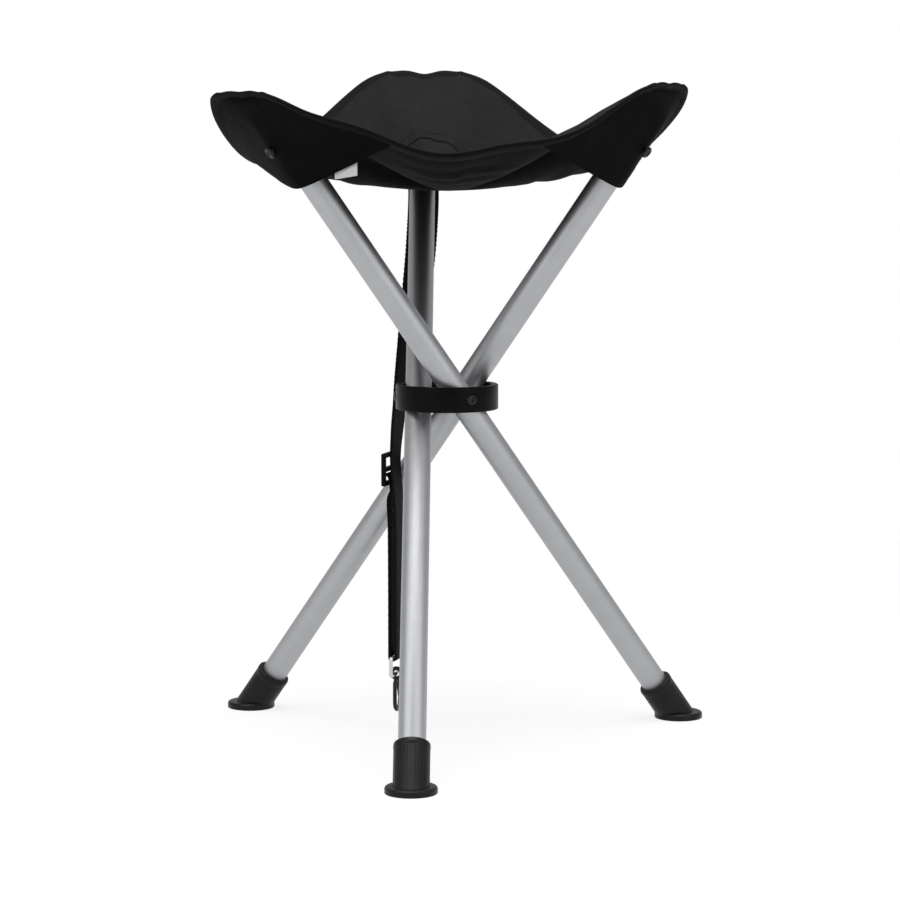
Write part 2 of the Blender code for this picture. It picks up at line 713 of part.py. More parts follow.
# The strap's middle line from the back pocket down to the wire loop, chosen by hand, with
# the webbing's turn from flat against the pocket to edge-on beside the hub.
STRAP_ROUTE = [
    (-0.0215, 0.1532, 0.4370, 0), (-0.0215, 0.1485, 0.4270, 0), (-0.0214, 0.1440, 0.4170, 0),
    (-0.0213, 0.1380, 0.4050, 2), (-0.0218, 0.1275, 0.3870, 7), (-0.0235, 0.1105, 0.3590, 20),
    (-0.0270, 0.0910, 0.3270, 36), (-0.0315, 0.0725, 0.2960, 51), (-0.0355, 0.0560, 0.2680, 63),
    (-0.0380, 0.0420, 0.2440, 71), (-0.0395, 0.0300, 0.2260, 74), (-0.0399, 0.0229, 0.2100, 75),
    (-0.0388, 0.0188, 0.1950, 75), (-0.0375, 0.0174, 0.1800, 75), (-0.0368, 0.0170, 0.1600, 75),
    (-0.0366, 0.0170, 0.1200, 75), (-0.0366, 0.0170, 0.0800, 75), (-0.0366, 0.0170, 0.0600, 75),
]
LAYERS_APART = WEBBING + LAYER_GAP

# How the folded-back end tucks behind the slider's lower bar to reach its middle bar: the
# distance out from the slider's own plane and the height from its middle
SLIDER_TUCK = [(-0.0042, -0.0160), (-0.0036, -0.0088), (-0.0025, -0.0053), (0.0, -0.0034)]


def strap_across():
    return Vector((math.cos(STRAP_TURN), math.sin(STRAP_TURN), 0.0))


def strap_out():
    """The way from the main layer to the folded-back one, square to the webbing."""
    return Vector((-math.sin(STRAP_TURN), math.cos(STRAP_TURN), 0.0))


def ribbon(name, points, turns):
    """Webbing through points, its width turned by the given angles about Z."""
    def build(work):
        loops = []
        for i, point in enumerate(points):
            ahead = (points[min(i + 1, len(points) - 1)] - points[max(i - 1, 0)]).normalized()
            across = Vector((math.cos(turns[i]), math.sin(turns[i]), 0.0))
            across = (across - ahead * across.dot(ahead)).normalized()
            half = across * (WEBBING_WIDTH / 2)
            thick = ahead.cross(across) * (WEBBING / 2)
            corners = (half + thick, half - thick, -half - thick, thick - half)
            loops.append([work.verts.new(point + corner) for corner in corners])
        for near, far in zip(loops, loops[1:]):
            for i in range(4):
                j = (i + 1) % 4
                work.faces.new((near[i], near[j], far[j], far[i]))
        work.faces.new(loops[0])
        work.faces.new(list(reversed(loops[-1])))
        bmesh.ops.triangulate(work, faces=work.faces)
    add(name, mesh_from(build, name), BLACK_CLOTH)


def strap_main():
    points = [Vector(place[:3]) for place in STRAP_ROUTE]
    ribbon("strap_main", points, [math.radians(place[3]) for place in STRAP_ROUTE])


def strap_return():
    """The webbing's turn round the wire loop, then back up to the slider's middle bar."""
    low = Vector(STRAP_ROUTE[-1][:3])
    out = strap_out()
    radius = LAYERS_APART / 2
    points = []
    for away, height in arc(radius, -RUNNING_GAP, radius, 180, 360, 8):
        points.append(low + out * away + Vector((0.0, 0.0, height)))
    for place in reversed(STRAP_ROUTE[13:-1]):
        points.append(Vector(place[:3]) + out * LAYERS_APART)
    for away, height in SLIDER_TUCK:
        points.append(slider_middle() + out * away + Vector((0.0, 0.0, height)))
    ribbon("strap_return", points, [STRAP_TURN] * len(points))


def slider_middle():
    """The slider's middle, beside the main strap where that has come to hang plumb."""
    aside = strap_out() * (LAYERS_APART + SLIDER_CLEAR)
    return Vector(STRAP_ROUTE[12][:3]) + aside + Vector((0.0, 0.0, SLIDER_RISE))


def strap_frame(origin):
    """Axes for the strap's fittings: X through the webbing, Y across it, Z up."""
    out = strap_out()
    across = strap_across()
    turn = Matrix((
        (out.x, across.x, 0.0, origin.x),
        (out.y, across.y, 0.0, origin.y),
        (0.0, 0.0, 1.0, origin.z),
        (0.0, 0.0, 0.0, 1.0),
    ))
    return turn


def strap_slider():
    """A frame of three bars; the folded-back webbing is sewn round the middle one."""
    width = WEBBING_WIDTH + SLIDER_BAR * 2
    opening = (SLIDER_LENGTH - SLIDER_BAR * 3) / 2
    mesh = box((SLIDER_BAR, width, SLIDER_LENGTH), Matrix())
    tools = []
    for sign in (-1.0, 1.0):
        place = Matrix.Translation((0.0, 0.0, sign * (SLIDER_BAR + opening) / 2))
        tools.append(box((SLIDER_BAR * 2, WEBBING_WIDTH + SLOT_PLAY, opening), place))
    mesh = cut("strap_slider", mesh, *tools)
    made = add("strap_slider", mesh, BLACK_PLASTIC)
    made.matrix_world = strap_frame(slider_middle())
    soft = made.modifiers.new("edges", "BEVEL")
    soft.width = SLIDER_BAR * 0.22
    soft.segments = 2
    soft.limit_method = "ANGLE"


def loop_centre():
    """The middle of the wire loop's upper bar, inside the webbing's turn."""
    low = Vector(STRAP_ROUTE[-1][:3])
    return low + strap_out() * (LAYERS_APART / 2) - Vector((0.0, 0.0, RUNNING_GAP))


def wire(name, points, radius, cyclic, resolution=2):
    """A round wire through points as a mesh."""
    curve = bpy.data.curves.new(name, "CURVE")
    curve.dimensions = "3D"
    curve.bevel_depth = radius
    curve.bevel_resolution = resolution
    curve.use_fill_caps = not cyclic
    line = curve.splines.new("POLY")
    line.points.add(len(points) - 1)
    for slot, point in zip(line.points, points):
        slot.co = (*point, 1.0)
    line.use_cyclic_u = cyclic
    blank = bpy.data.objects.new(name, curve)
    CUTTERS.objects.link(blank)
    mesh = evaluated(blank, name)
    bpy.data.objects.remove(blank, do_unlink=True)
    work = bmesh.new()
    work.from_mesh(mesh)
    bmesh.ops.remove_doubles(work, verts=work.verts, dist=0.00001)
    bmesh.ops.recalc_face_normals(work, faces=work.faces)
    work.to_mesh(mesh)
    work.free()
    return mesh


def strap_loop():
    """A rounded rectangle of wire, its upper bar inside the webbing's turn."""
    half = WEBBING_WIDTH / 2 + LOOP_PLAY + WIRE_RADIUS
    low = -(LOOP_HEIGHT - WIRE_RADIUS * 2)
    corner = LOOP_PLAY + WIRE_RADIUS
    points = []
    corners = ((half - corner, -corner, 0), (corner - half, -corner, 90),
               (corner - half, low + corner, 180), (half - corner, low + corner, 270))
    for across, height, start in corners:
        for y, z in arc(across, height, corner, start, start + 90, 4):
            points.append((0.0, y, z))
    made = add("strap_loop", wire("strap_loop", points, WIRE_RADIUS, True), CHROME)
    made.matrix_world = strap_frame(loop_centre())


def hook_place():
    """The hook hangs on the loop's lower bar, edge-on to the front."""
    low = loop_centre() - Vector((0.0, 0.0, LOOP_HEIGHT - WIRE_RADIUS * 2))
    return strap_frame(low)


def hook_points():
    """The hook's middle line, from its eye round the bend to the tip."""
    width = HOOK_WIDTH - HOOK_ROD
    left = -width * HOOK_BACK
    bend = width / 2
    bottom = -HOOK_LENGTH + bend + HOOK_ROD / 2
    points = [(0.0, -HOOK_EYE), (left, -HOOK_EYE - HOOK_ROD)]
    points += arc(left + bend, bottom, bend, 180, 370, 8)
    return points


def hook_body():
    """One moulded piece: an eye closed round the loop's bar, and a hook square to it."""
    flat = [(0.0, y, z) for y, z in hook_points()]
    ring = [(x, 0.0, z) for x, z in arc(0.0, 0.0, HOOK_EYE, 0, 330, 11)]
    mesh = wire("hook_body", flat, HOOK_ROD * HOOK_NECK / 2, False, 2)
    closed = wire("eye", ring, HOOK_ROD / 2, True, 2)
    mesh = unite("hook_body", mesh, closed)
    made = add("hook_body", mesh, BLACK_PLASTIC)
    made.matrix_world = hook_place()


def hook_gate():
    """The sprung gate, from under the eye to the inside of the hook's tip."""
    tip = hook_points()[-1]
    half = HOOK_ROD * GATE_SIZE / 2
    high = (HOOK_EYE * GATE_PLACE, -HOOK_EYE - HOOK_ROD / 2 - RUNNING_GAP)
    low = (tip[0], tip[1] + RUNNING_GAP * 3)
    points = [(0.0, high[0], high[1]), (0.0, (high[0] + low[0]) / 2, (high[1] + low[1]) / 2),
              (0.0, low[0], low[1])]
    made = add("hook_gate", wire("hook_gate", points, half, False, 3), BLACK_PLASTIC)
    made.matrix_world = hook_place()


def build_leg(leg):
    parent = pivot(leg)
    leg_tube(leg, parent)
    tube_cap(leg, parent)
    foot(leg, parent)
    foot_screw(leg, parent)
    pivot_screw(leg)
    pivot_nut(leg)
    corner_pocket(leg, parent)
    pocket_rivet(leg, parent)


def smooth_round_pieces():
    for piece in PARTS.objects:
        if piece.type == "MESH":
            piece.data.shade_smooth()
            piece.data.set_sharp_from_angle(angle=math.radians(35.0))


def stand_at_origin():
    for piece in PARTS.objects:
        if piece.parent is None:
            piece.location += HUB_PLACE


hub_ring()
for leg_name in LEGS:
    build_leg(leg_name)
seat_cloth()
edge_binding()
care_label()
strap_main()
strap_return()
strap_slider()
strap_loop()
hook_body()
hook_gate()
smooth_round_pieces()
stand_at_origin()
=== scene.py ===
"""A folding tripod stool: three metal tubes in a hub ring, and a cloth seat slung between them."""
import math
import bpy
import numpy as np
from mathutils import Matrix, Vector, noise


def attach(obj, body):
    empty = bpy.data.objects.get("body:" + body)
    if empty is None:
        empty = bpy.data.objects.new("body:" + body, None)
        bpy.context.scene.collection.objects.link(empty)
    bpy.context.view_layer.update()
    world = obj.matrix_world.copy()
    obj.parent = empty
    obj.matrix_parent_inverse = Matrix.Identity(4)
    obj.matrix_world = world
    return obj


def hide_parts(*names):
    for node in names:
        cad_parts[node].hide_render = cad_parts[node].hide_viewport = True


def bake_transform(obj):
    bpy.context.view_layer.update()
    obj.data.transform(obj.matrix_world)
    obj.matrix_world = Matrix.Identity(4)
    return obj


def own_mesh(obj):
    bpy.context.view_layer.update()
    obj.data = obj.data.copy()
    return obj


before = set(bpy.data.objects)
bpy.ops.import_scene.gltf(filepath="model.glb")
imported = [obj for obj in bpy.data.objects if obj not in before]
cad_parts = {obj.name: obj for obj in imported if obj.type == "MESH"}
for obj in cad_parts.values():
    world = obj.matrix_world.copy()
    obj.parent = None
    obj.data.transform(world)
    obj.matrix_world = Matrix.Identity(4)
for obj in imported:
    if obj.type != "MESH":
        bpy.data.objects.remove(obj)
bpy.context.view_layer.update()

# The view. The photograph was taken with a long lens from a little above the seat, square to
# the front foot. The hub's axis stands a little off the origin, and every piece is laid out
# from that axis before it is moved there.
HUB_AXIS = Vector((-0.0108, 0.0152, 0.0))
HUB_HEIGHT = 0.261
CAMERA_ORBIT = math.radians(1.0)
CAMERA_FAR = 2.237
CAMERA_ASIDE = 0.00225
CAMERA_HEIGHT = 0.457
CAMERA_TILT = 6.045
CAMERA_LENS = 119.0
bpy.ops.object.camera_add(
    location=HUB_AXIS + Vector((CAMERA_FAR * math.sin(CAMERA_ORBIT) + CAMERA_ASIDE,
                                -CAMERA_FAR * math.cos(CAMERA_ORBIT), CAMERA_HEIGHT)),
    rotation=(math.radians(90.0 - CAMERA_TILT), 0.0, CAMERA_ORBIT))
camera = bpy.context.object
camera.data.sensor_width = 36.0
camera.data.lens = CAMERA_LENS
bpy.context.scene.camera = camera


# The carrying strap is a polypropylene webbing 25 mm wide, woven flat with ribs across it. It
# is sewn into the back pocket, hangs down beside the hub, turns round a wire loop and comes
# back up to a slider. Its edges show the weft's turns as fine teeth.
STRAP_ROUTE = [
    (-0.0215, 0.1532, 0.4370, 0), (-0.0215, 0.1485, 0.4270, 0), (-0.0214, 0.1440, 0.4170, 0),
    (-0.0213, 0.1380, 0.4050, 2), (-0.0218, 0.1275, 0.3870, 7), (-0.0235, 0.1105, 0.3590, 20),
    (-0.0270, 0.0910, 0.3270, 36), (-0.0315, 0.0725, 0.2960, 51), (-0.0355, 0.0560, 0.2680, 63),
    (-0.0380, 0.0420, 0.2440, 71), (-0.0395, 0.0300, 0.2260, 74), (-0.0399, 0.0229, 0.2100, 75),
    (-0.0388, 0.0188, 0.1950, 75), (-0.0375, 0.0174, 0.1800, 75), (-0.0368, 0.0170, 0.1600, 75),
    (-0.0366, 0.0170, 0.1200, 75), (-0.0366, 0.0170, 0.0800, 75), (-0.0366, 0.0170, 0.0600, 75),
]
STRAP_TURN = math.radians(75.0)
WEBBING_WIDTH = 0.025
WEBBING = 0.0016
LAYERS_APART = 0.0052
RUNNING_GAP = 0.0003
strap_across = Vector((math.cos(STRAP_TURN), math.sin(STRAP_TURN), 0.0))
strap_out = Vector((-math.sin(STRAP_TURN), math.cos(STRAP_TURN), 0.0))
up = Vector((0.0, 0.0, 1.0))


def linear(hex_colour):
    """An sRGB hex colour as Blender's linear colour."""
    values = [int(hex_colour[i:i + 2], 16) / 255.0 for i in (0, 2, 4)]
    turned = [v / 12.92 if v <= 0.04045 else ((v + 0.055) / 1.055) ** 2.4 for v in values]
    return (*turned, 1.0)


def node(tree, kind, settings, inputs):
    """Adds a shader node with its settings, and its inputs as values or links."""
    made = tree.nodes.new("ShaderNode" + kind)
    for key, value in settings.items():
        setattr(made, key, value)
    for key, value in inputs.items():
        if isinstance(value, bpy.types.NodeSocket):
            tree.links.new(value, made.inputs[key])
        else:
            made.inputs[key].default_value = value
    return made


def material(name, roughness, shine=0.5, metallic=0.0, by_uv=False):
    """A new material, its node tree and shader, and the place it is drawn at, in metres."""
    made = bpy.data.materials.new(name)
    made.use_nodes = True
    tree = made.node_tree
    shader = tree.nodes["Principled BSDF"]
    shader.inputs["Roughness"].default_value = roughness
    shader.inputs["Specular IOR Level"].default_value = shine
    shader.inputs["Metallic"].default_value = metallic
    if by_uv:
        return made, tree, shader, node(tree, "UVMap", {"uv_map": "UVMap"}, {}).outputs[0]
    return made, tree, shader, node(tree, "TexCoord", {}, {}).outputs["Object"]


def tinted(tree, shader, factor, dark, light):
    """Colours a shader between two shades."""
    tint = node(tree, "Mix", {"data_type": "RGBA"},
                {"Factor": factor, "A": linear(dark), "B": linear(light)})
    tree.links.new(tint.outputs["Result"], shader.inputs["Base Color"])


def glossed(tree, shader, factor, low, high):
    """Lets a shader's roughness wander between two values."""
    gloss = node(tree, "MapRange", {}, {"Value": factor, "To Min": low, "To Max": high}).outputs[0]
    tree.links.new(gloss, shader.inputs["Roughness"])


def bumped(tree, shader, height, strength, distance):
    """Gives a shader a fine relief."""
    relief = node(tree, "Bump", {}, {"Height": height, "Strength": strength, "Distance": distance})
    tree.links.new(relief.outputs[0], shader.inputs["Normal"])


def speckle(tree, place, size, detail):
    """Noise with spots of about this size in metres."""
    return node(tree, "TexNoise", {},
                {"Vector": place, "Scale": 1 / size, "Detail": detail}).outputs[0]


def bands(tree, place, axis, period, distortion, detail=2.0):
    """Bands across an axis, with this period in metres."""
    return node(tree, "TexWave", {"bands_direction": axis},
                {"Vector": place, "Scale": math.pi / 10.0 / period, "Distortion": distortion,
                 "Detail": detail}).outputs[0]


def weighed(tree, first, weight, second):
    """One value times a weight, plus another value."""
    return node(tree, "Math", {"operation": "MULTIPLY_ADD"},
                {0: first, 1: weight, 2: second}).outputs[0]


# Woven polypropylene: a dull black with a slight plastic shine on the crowns of its ribs. The
# real ribs are about 1 mm apart, and are drawn 1.8 mm apart so that they show.
webbing_weave, tree, shader, place = material("woven_polypropylene", 0.62, 0.05, by_uv=True)
ribs = bands(tree, place, "Y", 0.0018, 0.6, 1.0)
ends = bands(tree, place, "X", 0.0031, 0.0)
crowns = weighed(tree, ends, 0.35, ribs)
shade = node(tree, "MapRange", {},
             {"Value": crowns, "From Max": 1.35, "To Min": 0.55, "To Max": 1.0}).outputs[0]
tinted(tree, shader, shade, "060607", "1A1A1B")
bumped(tree, shader, crowns, 0.7, 0.0005)


def linked(name, data):
    """A new object in the scene, made from its data."""
    made = bpy.data.objects.new(name, data)
    bpy.context.scene.collection.objects.link(made)
    return made


def surface(name, points, faces, uv, finish, normals=None):
    """A piece from points laid out in rows, with a UV point for each."""
    mesh = bpy.data.meshes.new(name)
    mesh.from_pydata([tuple(p) for p in points], [], faces)
    layer = mesh.uv_layers.new(name="UVMap")
    corner = np.zeros(len(mesh.loops), dtype=np.int32)
    mesh.loops.foreach_get("vertex_index", corner)
    layer.data.foreach_set("uv", np.asarray(uv, dtype=np.float32)[corner].ravel())
    mesh.materials.append(finish)
    mesh.shade_smooth()
    if normals is not None:
        mesh.normals_split_custom_set_from_vertices([tuple(n) for n in normals])
    return linked(name, mesh)


def pick(piece):
    """Selects one piece alone and makes it the active one."""
    bpy.ops.object.select_all(action="DESELECT")
    piece.select_set(True)
    bpy.context.view_layer.objects.active = piece


def face_outward(merge=None):
    """Turns the active piece's faces outward, after merging points that lie together."""
    bpy.ops.object.mode_set(mode="EDIT")
    bpy.ops.mesh.select_all(action="SELECT")
    if merge:
        bpy.ops.mesh.remove_doubles(threshold=merge)
    bpy.ops.mesh.normals_make_consistent(inside=False)
    bpy.ops.object.mode_set(mode="OBJECT")


def smooth_below(degrees):
    """Smooths the active piece, and keeps edges sharper than an angle."""
    bpy.ops.object.shade_smooth_by_angle(angle=math.radians(degrees))


def coat(piece, finish, degrees):
    """Gives a piece its one material, and smooths it below an angle."""
    pick(piece)
    piece.data.materials.clear()
    piece.data.materials.append(finish)
    smooth_below(degrees)
    return piece


def block(length, width, height, rise=0.0):
    """A plain block round the Z axis, its middle at a height."""
    bpy.ops.object.select_all(action="DESELECT")
    bpy.ops.mesh.primitive_cube_add(size=1.0, location=(0, 0, rise), scale=(length, width, height))
    return bpy.context.object


def swept(name, rings, along, around, finish):
    """A solid through rings of points, closed round and capped at both ends."""
    count = len(rings)
    sides = len(rings[0])
    points = np.concatenate(rings)
    faces = []
    for i in range(count - 1):
        for j in range(sides):
            k = (j + 1) % sides
            faces.append((i * sides + j, i * sides + k, (i + 1) * sides + k, (i + 1) * sides + j))
    faces.append(tuple(range(sides))[::-1])
    faces.append(tuple((count - 1) * sides + j for j in range(sides)))
    uv = [(u, v) for v in along for u in around]
    made = surface(name, points, faces, uv, finish)
    pick(made)
    face_outward()
    return made


def smooth_route(points, steps):
    """A route through all the points, eased with a Catmull-Rom curve."""
    points = [np.array(p, float) for p in points]
    points = [2 * points[0] - points[1]] + points + [2 * points[-1] - points[-2]]
    route = []
    for a, b, c, d in zip(points, points[1:], points[2:], points[3:]):
        for i in range(steps):
            t = i / steps
            route.append(0.5 * (2 * b + (c - a) * t + (2 * a - 5 * b + 4 * c - d) * t * t
                                + (3 * b - a - 3 * c + d) * t ** 3))
    route.append(points[-2])
    return route


def webbing(name, route, turns):
    """Webbing along a route, with rounded edges and a fine tooth at every rib."""
    middles = [Vector(p) + HUB_AXIS for p in route]
    half = WEBBING / 2
    outline = [(0.0, 1.0), (0.62, 1.0), (0.93, 0.86), (1.0, 0.0), (0.93, -0.86), (0.62, -1.0)]
    outline += [(-x, -y) for x, y in outline]
    rings = []
    along = []
    travelled = 0.0
    for i, middle in enumerate(middles):
        ahead = (middles[min(i + 1, len(middles) - 1)] - middles[max(i - 1, 0)]).normalized()
        if i:
            travelled += (middle - middles[i - 1]).length
        across = Vector((math.cos(turns[i]), math.sin(turns[i]), 0.0))
        across = (across - ahead * across.dot(ahead)).normalized()
        through = ahead.cross(across)
        tooth = 0.00022 * (1 if i % 2 else -1)
        reach = WEBBING_WIDTH / 2 - 0.0003 + tooth
        rings.append([middle + across * (x * reach) + through * (y * half) for x, y in outline])
        along.append(travelled)
    around = [x * WEBBING_WIDTH / 2 for x, y in outline]
    return swept(name, rings, along, around, webbing_weave), middles, travelled


fine_route = smooth_route(STRAP_ROUTE, 16)
strap_long, strap_path, strap_length = webbing(
    "strap_long", [p[:3] for p in fine_route], [math.radians(p[3]) for p in fine_route])
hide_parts("strap_main")

SLIDER_CLEAR = 0.0006
SLIDER_RISE = 0.009
slider_middle = (Vector(STRAP_ROUTE[12][:3]) + strap_out * (LAYERS_APART + SLIDER_CLEAR)
                 + up * SLIDER_RISE)
loop_bar = Vector(STRAP_ROUTE[-1][:3]) + strap_out * (LAYERS_APART / 2) - up * RUNNING_GAP
tail_route = []
for step in range(13):
    angle = math.pi * step / 12
    tail_route.append(loop_bar - strap_out * (math.cos(angle) * LAYERS_APART / 2)
                      - up * (math.sin(angle) * LAYERS_APART / 2))
tail_rise = [Vector(place[:3]) + strap_out * LAYERS_APART
             for place in reversed(STRAP_ROUTE[13:-1])]
for away, height in [(-0.0042, -0.0160), (-0.0036, -0.0088), (-0.0025, -0.0053), (0.0, -0.0034)]:
    tail_rise.append(slider_middle + strap_out * away + up * height)
tail_route += [Vector(p) for p in smooth_route([tail_route[-1]] + tail_rise, 14)[1:]]
strap_tail, tail_path, tail_length = webbing(
    "strap_tail", tail_route, [STRAP_TURN] * len(tail_route))
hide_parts("strap_return")


# The strap's fittings: a bent wire loop in bright plate, a moulded three-bar slider and a
# moulded snap hook with a sprung gate. The webbing turns round the loop's upper bar and the
# hook's eye hangs on its lower one.
WIRE = 0.0015
LOOP_HEIGHT = 0.017
LOOP_PLAY = 0.0008
HOOK_ROD = 0.0032
HOOK_WIDTH = 0.016
HOOK_LENGTH = 0.030
HOOK_PLAY = 0.0004
HOOK_BACK = 0.35
HOOK_NECK = 0.96
GATE_SIZE = 0.84
GATE_PLACE = 0.65
strap_frame = Matrix((
    (strap_out.x, strap_across.x, 0.0, 0.0),
    (strap_out.y, strap_across.y, 0.0, 0.0),
    (0.0, 0.0, 1.0, 0.0),
    (0.0, 0.0, 0.0, 1.0),
))


# Bright nickel plate on drawn wire: a clear mirror, a little softened by handling.
bright_plate, tree, shader, place = material("nickel_plated_wire", 0.14, metallic=1.0)
shader.inputs["Base Color"].default_value = linear("D6D7DA")
glossed(tree, shader, speckle(tree, place, 0.004, 4.0), 0.08, 0.24)

# Moulded nylon, near black, for the hub, and a softer and greyer thermoplastic rubber for the
# feet. Both have the even fine grain of a spark-eroded mould, which breaks the light up
# softly. The grain is about 0.3 mm and is drawn at 0.5 mm.
moulded = []
for name, dark, light, shine in (("moulded_nylon", "060607", "0E0E0F", 0.07),
                                 ("moulded_rubber", "101011", "1D1D1E", 0.19)):
    made, tree, shader, place = material(name, 0.36, shine)
    clouds = speckle(tree, place, 0.018, 2.0)
    tinted(tree, shader, clouds, dark, light)
    glossed(tree, shader, clouds, 0.28, 0.42)
    bumped(tree, shader, speckle(tree, place, 0.0005, 3.0), 0.22, 0.0002)
    moulded.append(made)
moulded_nylon, moulded_rubber = moulded

# Moulded acetal: smoother and glossier than the nylon, with a faint flow pattern.
moulded_acetal, tree, shader, place = material("moulded_acetal", 0.28, 0.3)
shader.inputs["Base Color"].default_value = linear("0D0D0E")
glossed(tree, shader, speckle(tree, place, 0.003, 2.0), 0.22, 0.38)


def settle(piece, matrix):
    """Puts a piece in its place and leaves its object at the origin."""
    pick(piece)
    piece.matrix_world = matrix @ piece.matrix_world
    bpy.ops.object.transform_apply(location=True, rotation=True, scale=True)
    return piece


def rod_along(name, points, radius, cyclic, finish):
    """A round rod along points, from a curve turned into a mesh."""
    curve = bpy.data.curves.new(name, "CURVE")
    curve.dimensions = "3D"
    curve.bevel_depth = radius
    curve.bevel_resolution = 5
    curve.use_fill_caps = not cyclic
    line = curve.splines.new("POLY")
    line.points.add(len(points) - 1)
    for slot, point in zip(line.points, points):
        slot.co = (*point, 1.0)
    line.use_cyclic_u = cyclic
    made = linked(name, curve)
    pick(made)
    bpy.ops.object.convert(target="MESH")
    face_outward(0.00001)
    return coat(made, finish, 50.0)


def bend(x, z, radius, start, end, count):
    """Points round a bend in the fitting's own flat plane."""
    points = []
    for i in range(count + 1):
        angle = math.radians(start + (end - start) * i / count)
        points.append((x + radius * math.cos(angle), 0.0, z + radius * math.sin(angle)))
    return points


def apply_all(piece):
    """Applies every modifier on a piece, in order."""
    pick(piece)
    for modifier in list(piece.modifiers):
        bpy.ops.object.modifier_apply(modifier=modifier.name)


def bevel(piece, width, segments, degrees=30.0):
    """Rounds a piece's edges where they turn by more than an angle."""
    soften = piece.modifiers.new("edges", "BEVEL")
    soften.width = width
    soften.segments = segments
    soften.limit_method = "ANGLE"
    soften.angle_limit = math.radians(degrees)
    apply_all(piece)


def combine(piece, tool, operation):
    """Cuts a piece with a tool, or joins the tool to it, and removes the tool."""
    step = piece.modifiers.new("combine", "BOOLEAN")
    step.operation = operation
    step.solver = "EXACT"
    step.object = tool
    apply_all(piece)
    bpy.data.objects.remove(tool, do_unlink=True)


def dress(piece, stands_for, body):
    """Says which node a piece replaces and which body it rides on."""
    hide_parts(stands_for)
    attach(piece, body)


loop_half = WEBBING_WIDTH / 2 + LOOP_PLAY + WIRE
loop_low = -(LOOP_HEIGHT - WIRE * 2)
loop_corner = LOOP_PLAY + WIRE
loop_line = []
for across, height, start in ((loop_half - loop_corner, -loop_corner, 0),
                              (loop_corner - loop_half, -loop_corner, 90),
                              (loop_corner - loop_half, loop_low + loop_corner, 180),
                              (loop_half - loop_corner, loop_low + loop_corner, 270)):
    loop_line += [(0.0, x, z) for x, y, z
                  in bend(across, height, loop_corner, start, start + 90, 8)]
wire_loop = rod_along("wire_loop", loop_line, WIRE, True, bright_plate)
settle(wire_loop, Matrix.Translation(HUB_AXIS + loop_bar) @ strap_frame)
dress(wire_loop, "strap_loop", "hub")

hook_eye = WIRE + RUNNING_GAP + HOOK_ROD / 2 + HOOK_PLAY
hook_wide = HOOK_WIDTH - HOOK_ROD
hook_left = -hook_wide * HOOK_BACK
hook_bend = hook_wide / 2
hook_low = -HOOK_LENGTH + hook_bend + HOOK_ROD / 2
hook_line = [up * -hook_eye, Vector((0.0, hook_left, -hook_eye - HOOK_ROD))]
hook_line += [Vector((0.0, x, z)) for x, y, z
              in bend(hook_left + hook_bend, hook_low, hook_bend, 180, 370, 26)]
hook = rod_along("snap_hook", hook_line, HOOK_ROD * HOOK_NECK / 2, False, moulded_acetal)
eye = rod_along("eye", bend(0.0, 0.0, hook_eye, 0, 352, 44), HOOK_ROD / 2, True, moulded_acetal)
combine(hook, eye, "UNION")
hook_bar = HUB_AXIS + loop_bar + up * loop_low
settle(hook, Matrix.Translation(hook_bar) @ strap_frame)
hook.data.shade_smooth()
smooth_below(50.0)
dress(hook, "hook_body", "hook")

gate_half = HOOK_ROD * GATE_SIZE / 2
gate_top = Vector((0.0, hook_eye * GATE_PLACE, -hook_eye - HOOK_ROD / 2 - RUNNING_GAP))
gate_low = hook_line[-1] + up * (RUNNING_GAP * 3)
gate_line = [gate_top.lerp(gate_low, i / 6) for i in range(7)]
hook_gate = rod_along("snap_gate", gate_line, gate_half, False, moulded_acetal)
bevel(hook_gate, 0.0004, 3, 60.0)
settle(hook_gate, Matrix.Translation(hook_bar) @ strap_frame)
dress(hook_gate, "hook_gate", "gate")

SLIDER_BAR = 0.0036
SLIDER_LONG = 0.025
slider = block(SLIDER_BAR, WEBBING_WIDTH + SLIDER_BAR * 2, SLIDER_LONG)
slider.name = "strap_adjuster"
slot_high = (SLIDER_LONG - SLIDER_BAR * 3) / 2
for sign in (-1, 1):
    combine(slider, block(SLIDER_BAR * 3, WEBBING_WIDTH + 0.001, slot_high,
                          sign * (SLIDER_BAR + slot_high) / 2), "DIFFERENCE")
settle(slider, Matrix())
bevel(slider, 0.0009, 4)
coat(slider, moulded_nylon, 40.0)
settle(slider, Matrix.Translation(HUB_AXIS + slider_middle) @ strap_frame)
dress(slider, "strap_slider", "slider")

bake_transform(strap_long)
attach(strap_tail, "hub")
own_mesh(strap_tail)


# The hub ring is injection moulded in one piece, with a boss inside for each pivot screw. It
# holds the three tubes a few millimetres apart where they pass one another.
TUBE_RADIUS = 0.010
WAIST = 0.0215
RING_BORE = 0.0337
RING_RADIUS = 0.0387
RING_HEIGHT = 0.019
LEG_TURNS = {"a": -60.0, "b": 60.0, "c": 180.0}
BOSS_RADIUS = 0.0065
SCREW_HEAD = 0.0042
SCREW_HEIGHT = 0.0022
SCREW_SHANK = 0.0020
SCREW_HOLE = 0.00225
SCREW_SINK = 0.0014
NUT_RADIUS = 0.0040
NUT_HEIGHT = 0.0032
CUT_PAST = 0.004
ALONG_X = Matrix.Rotation(math.radians(90.0), 4, "Y")


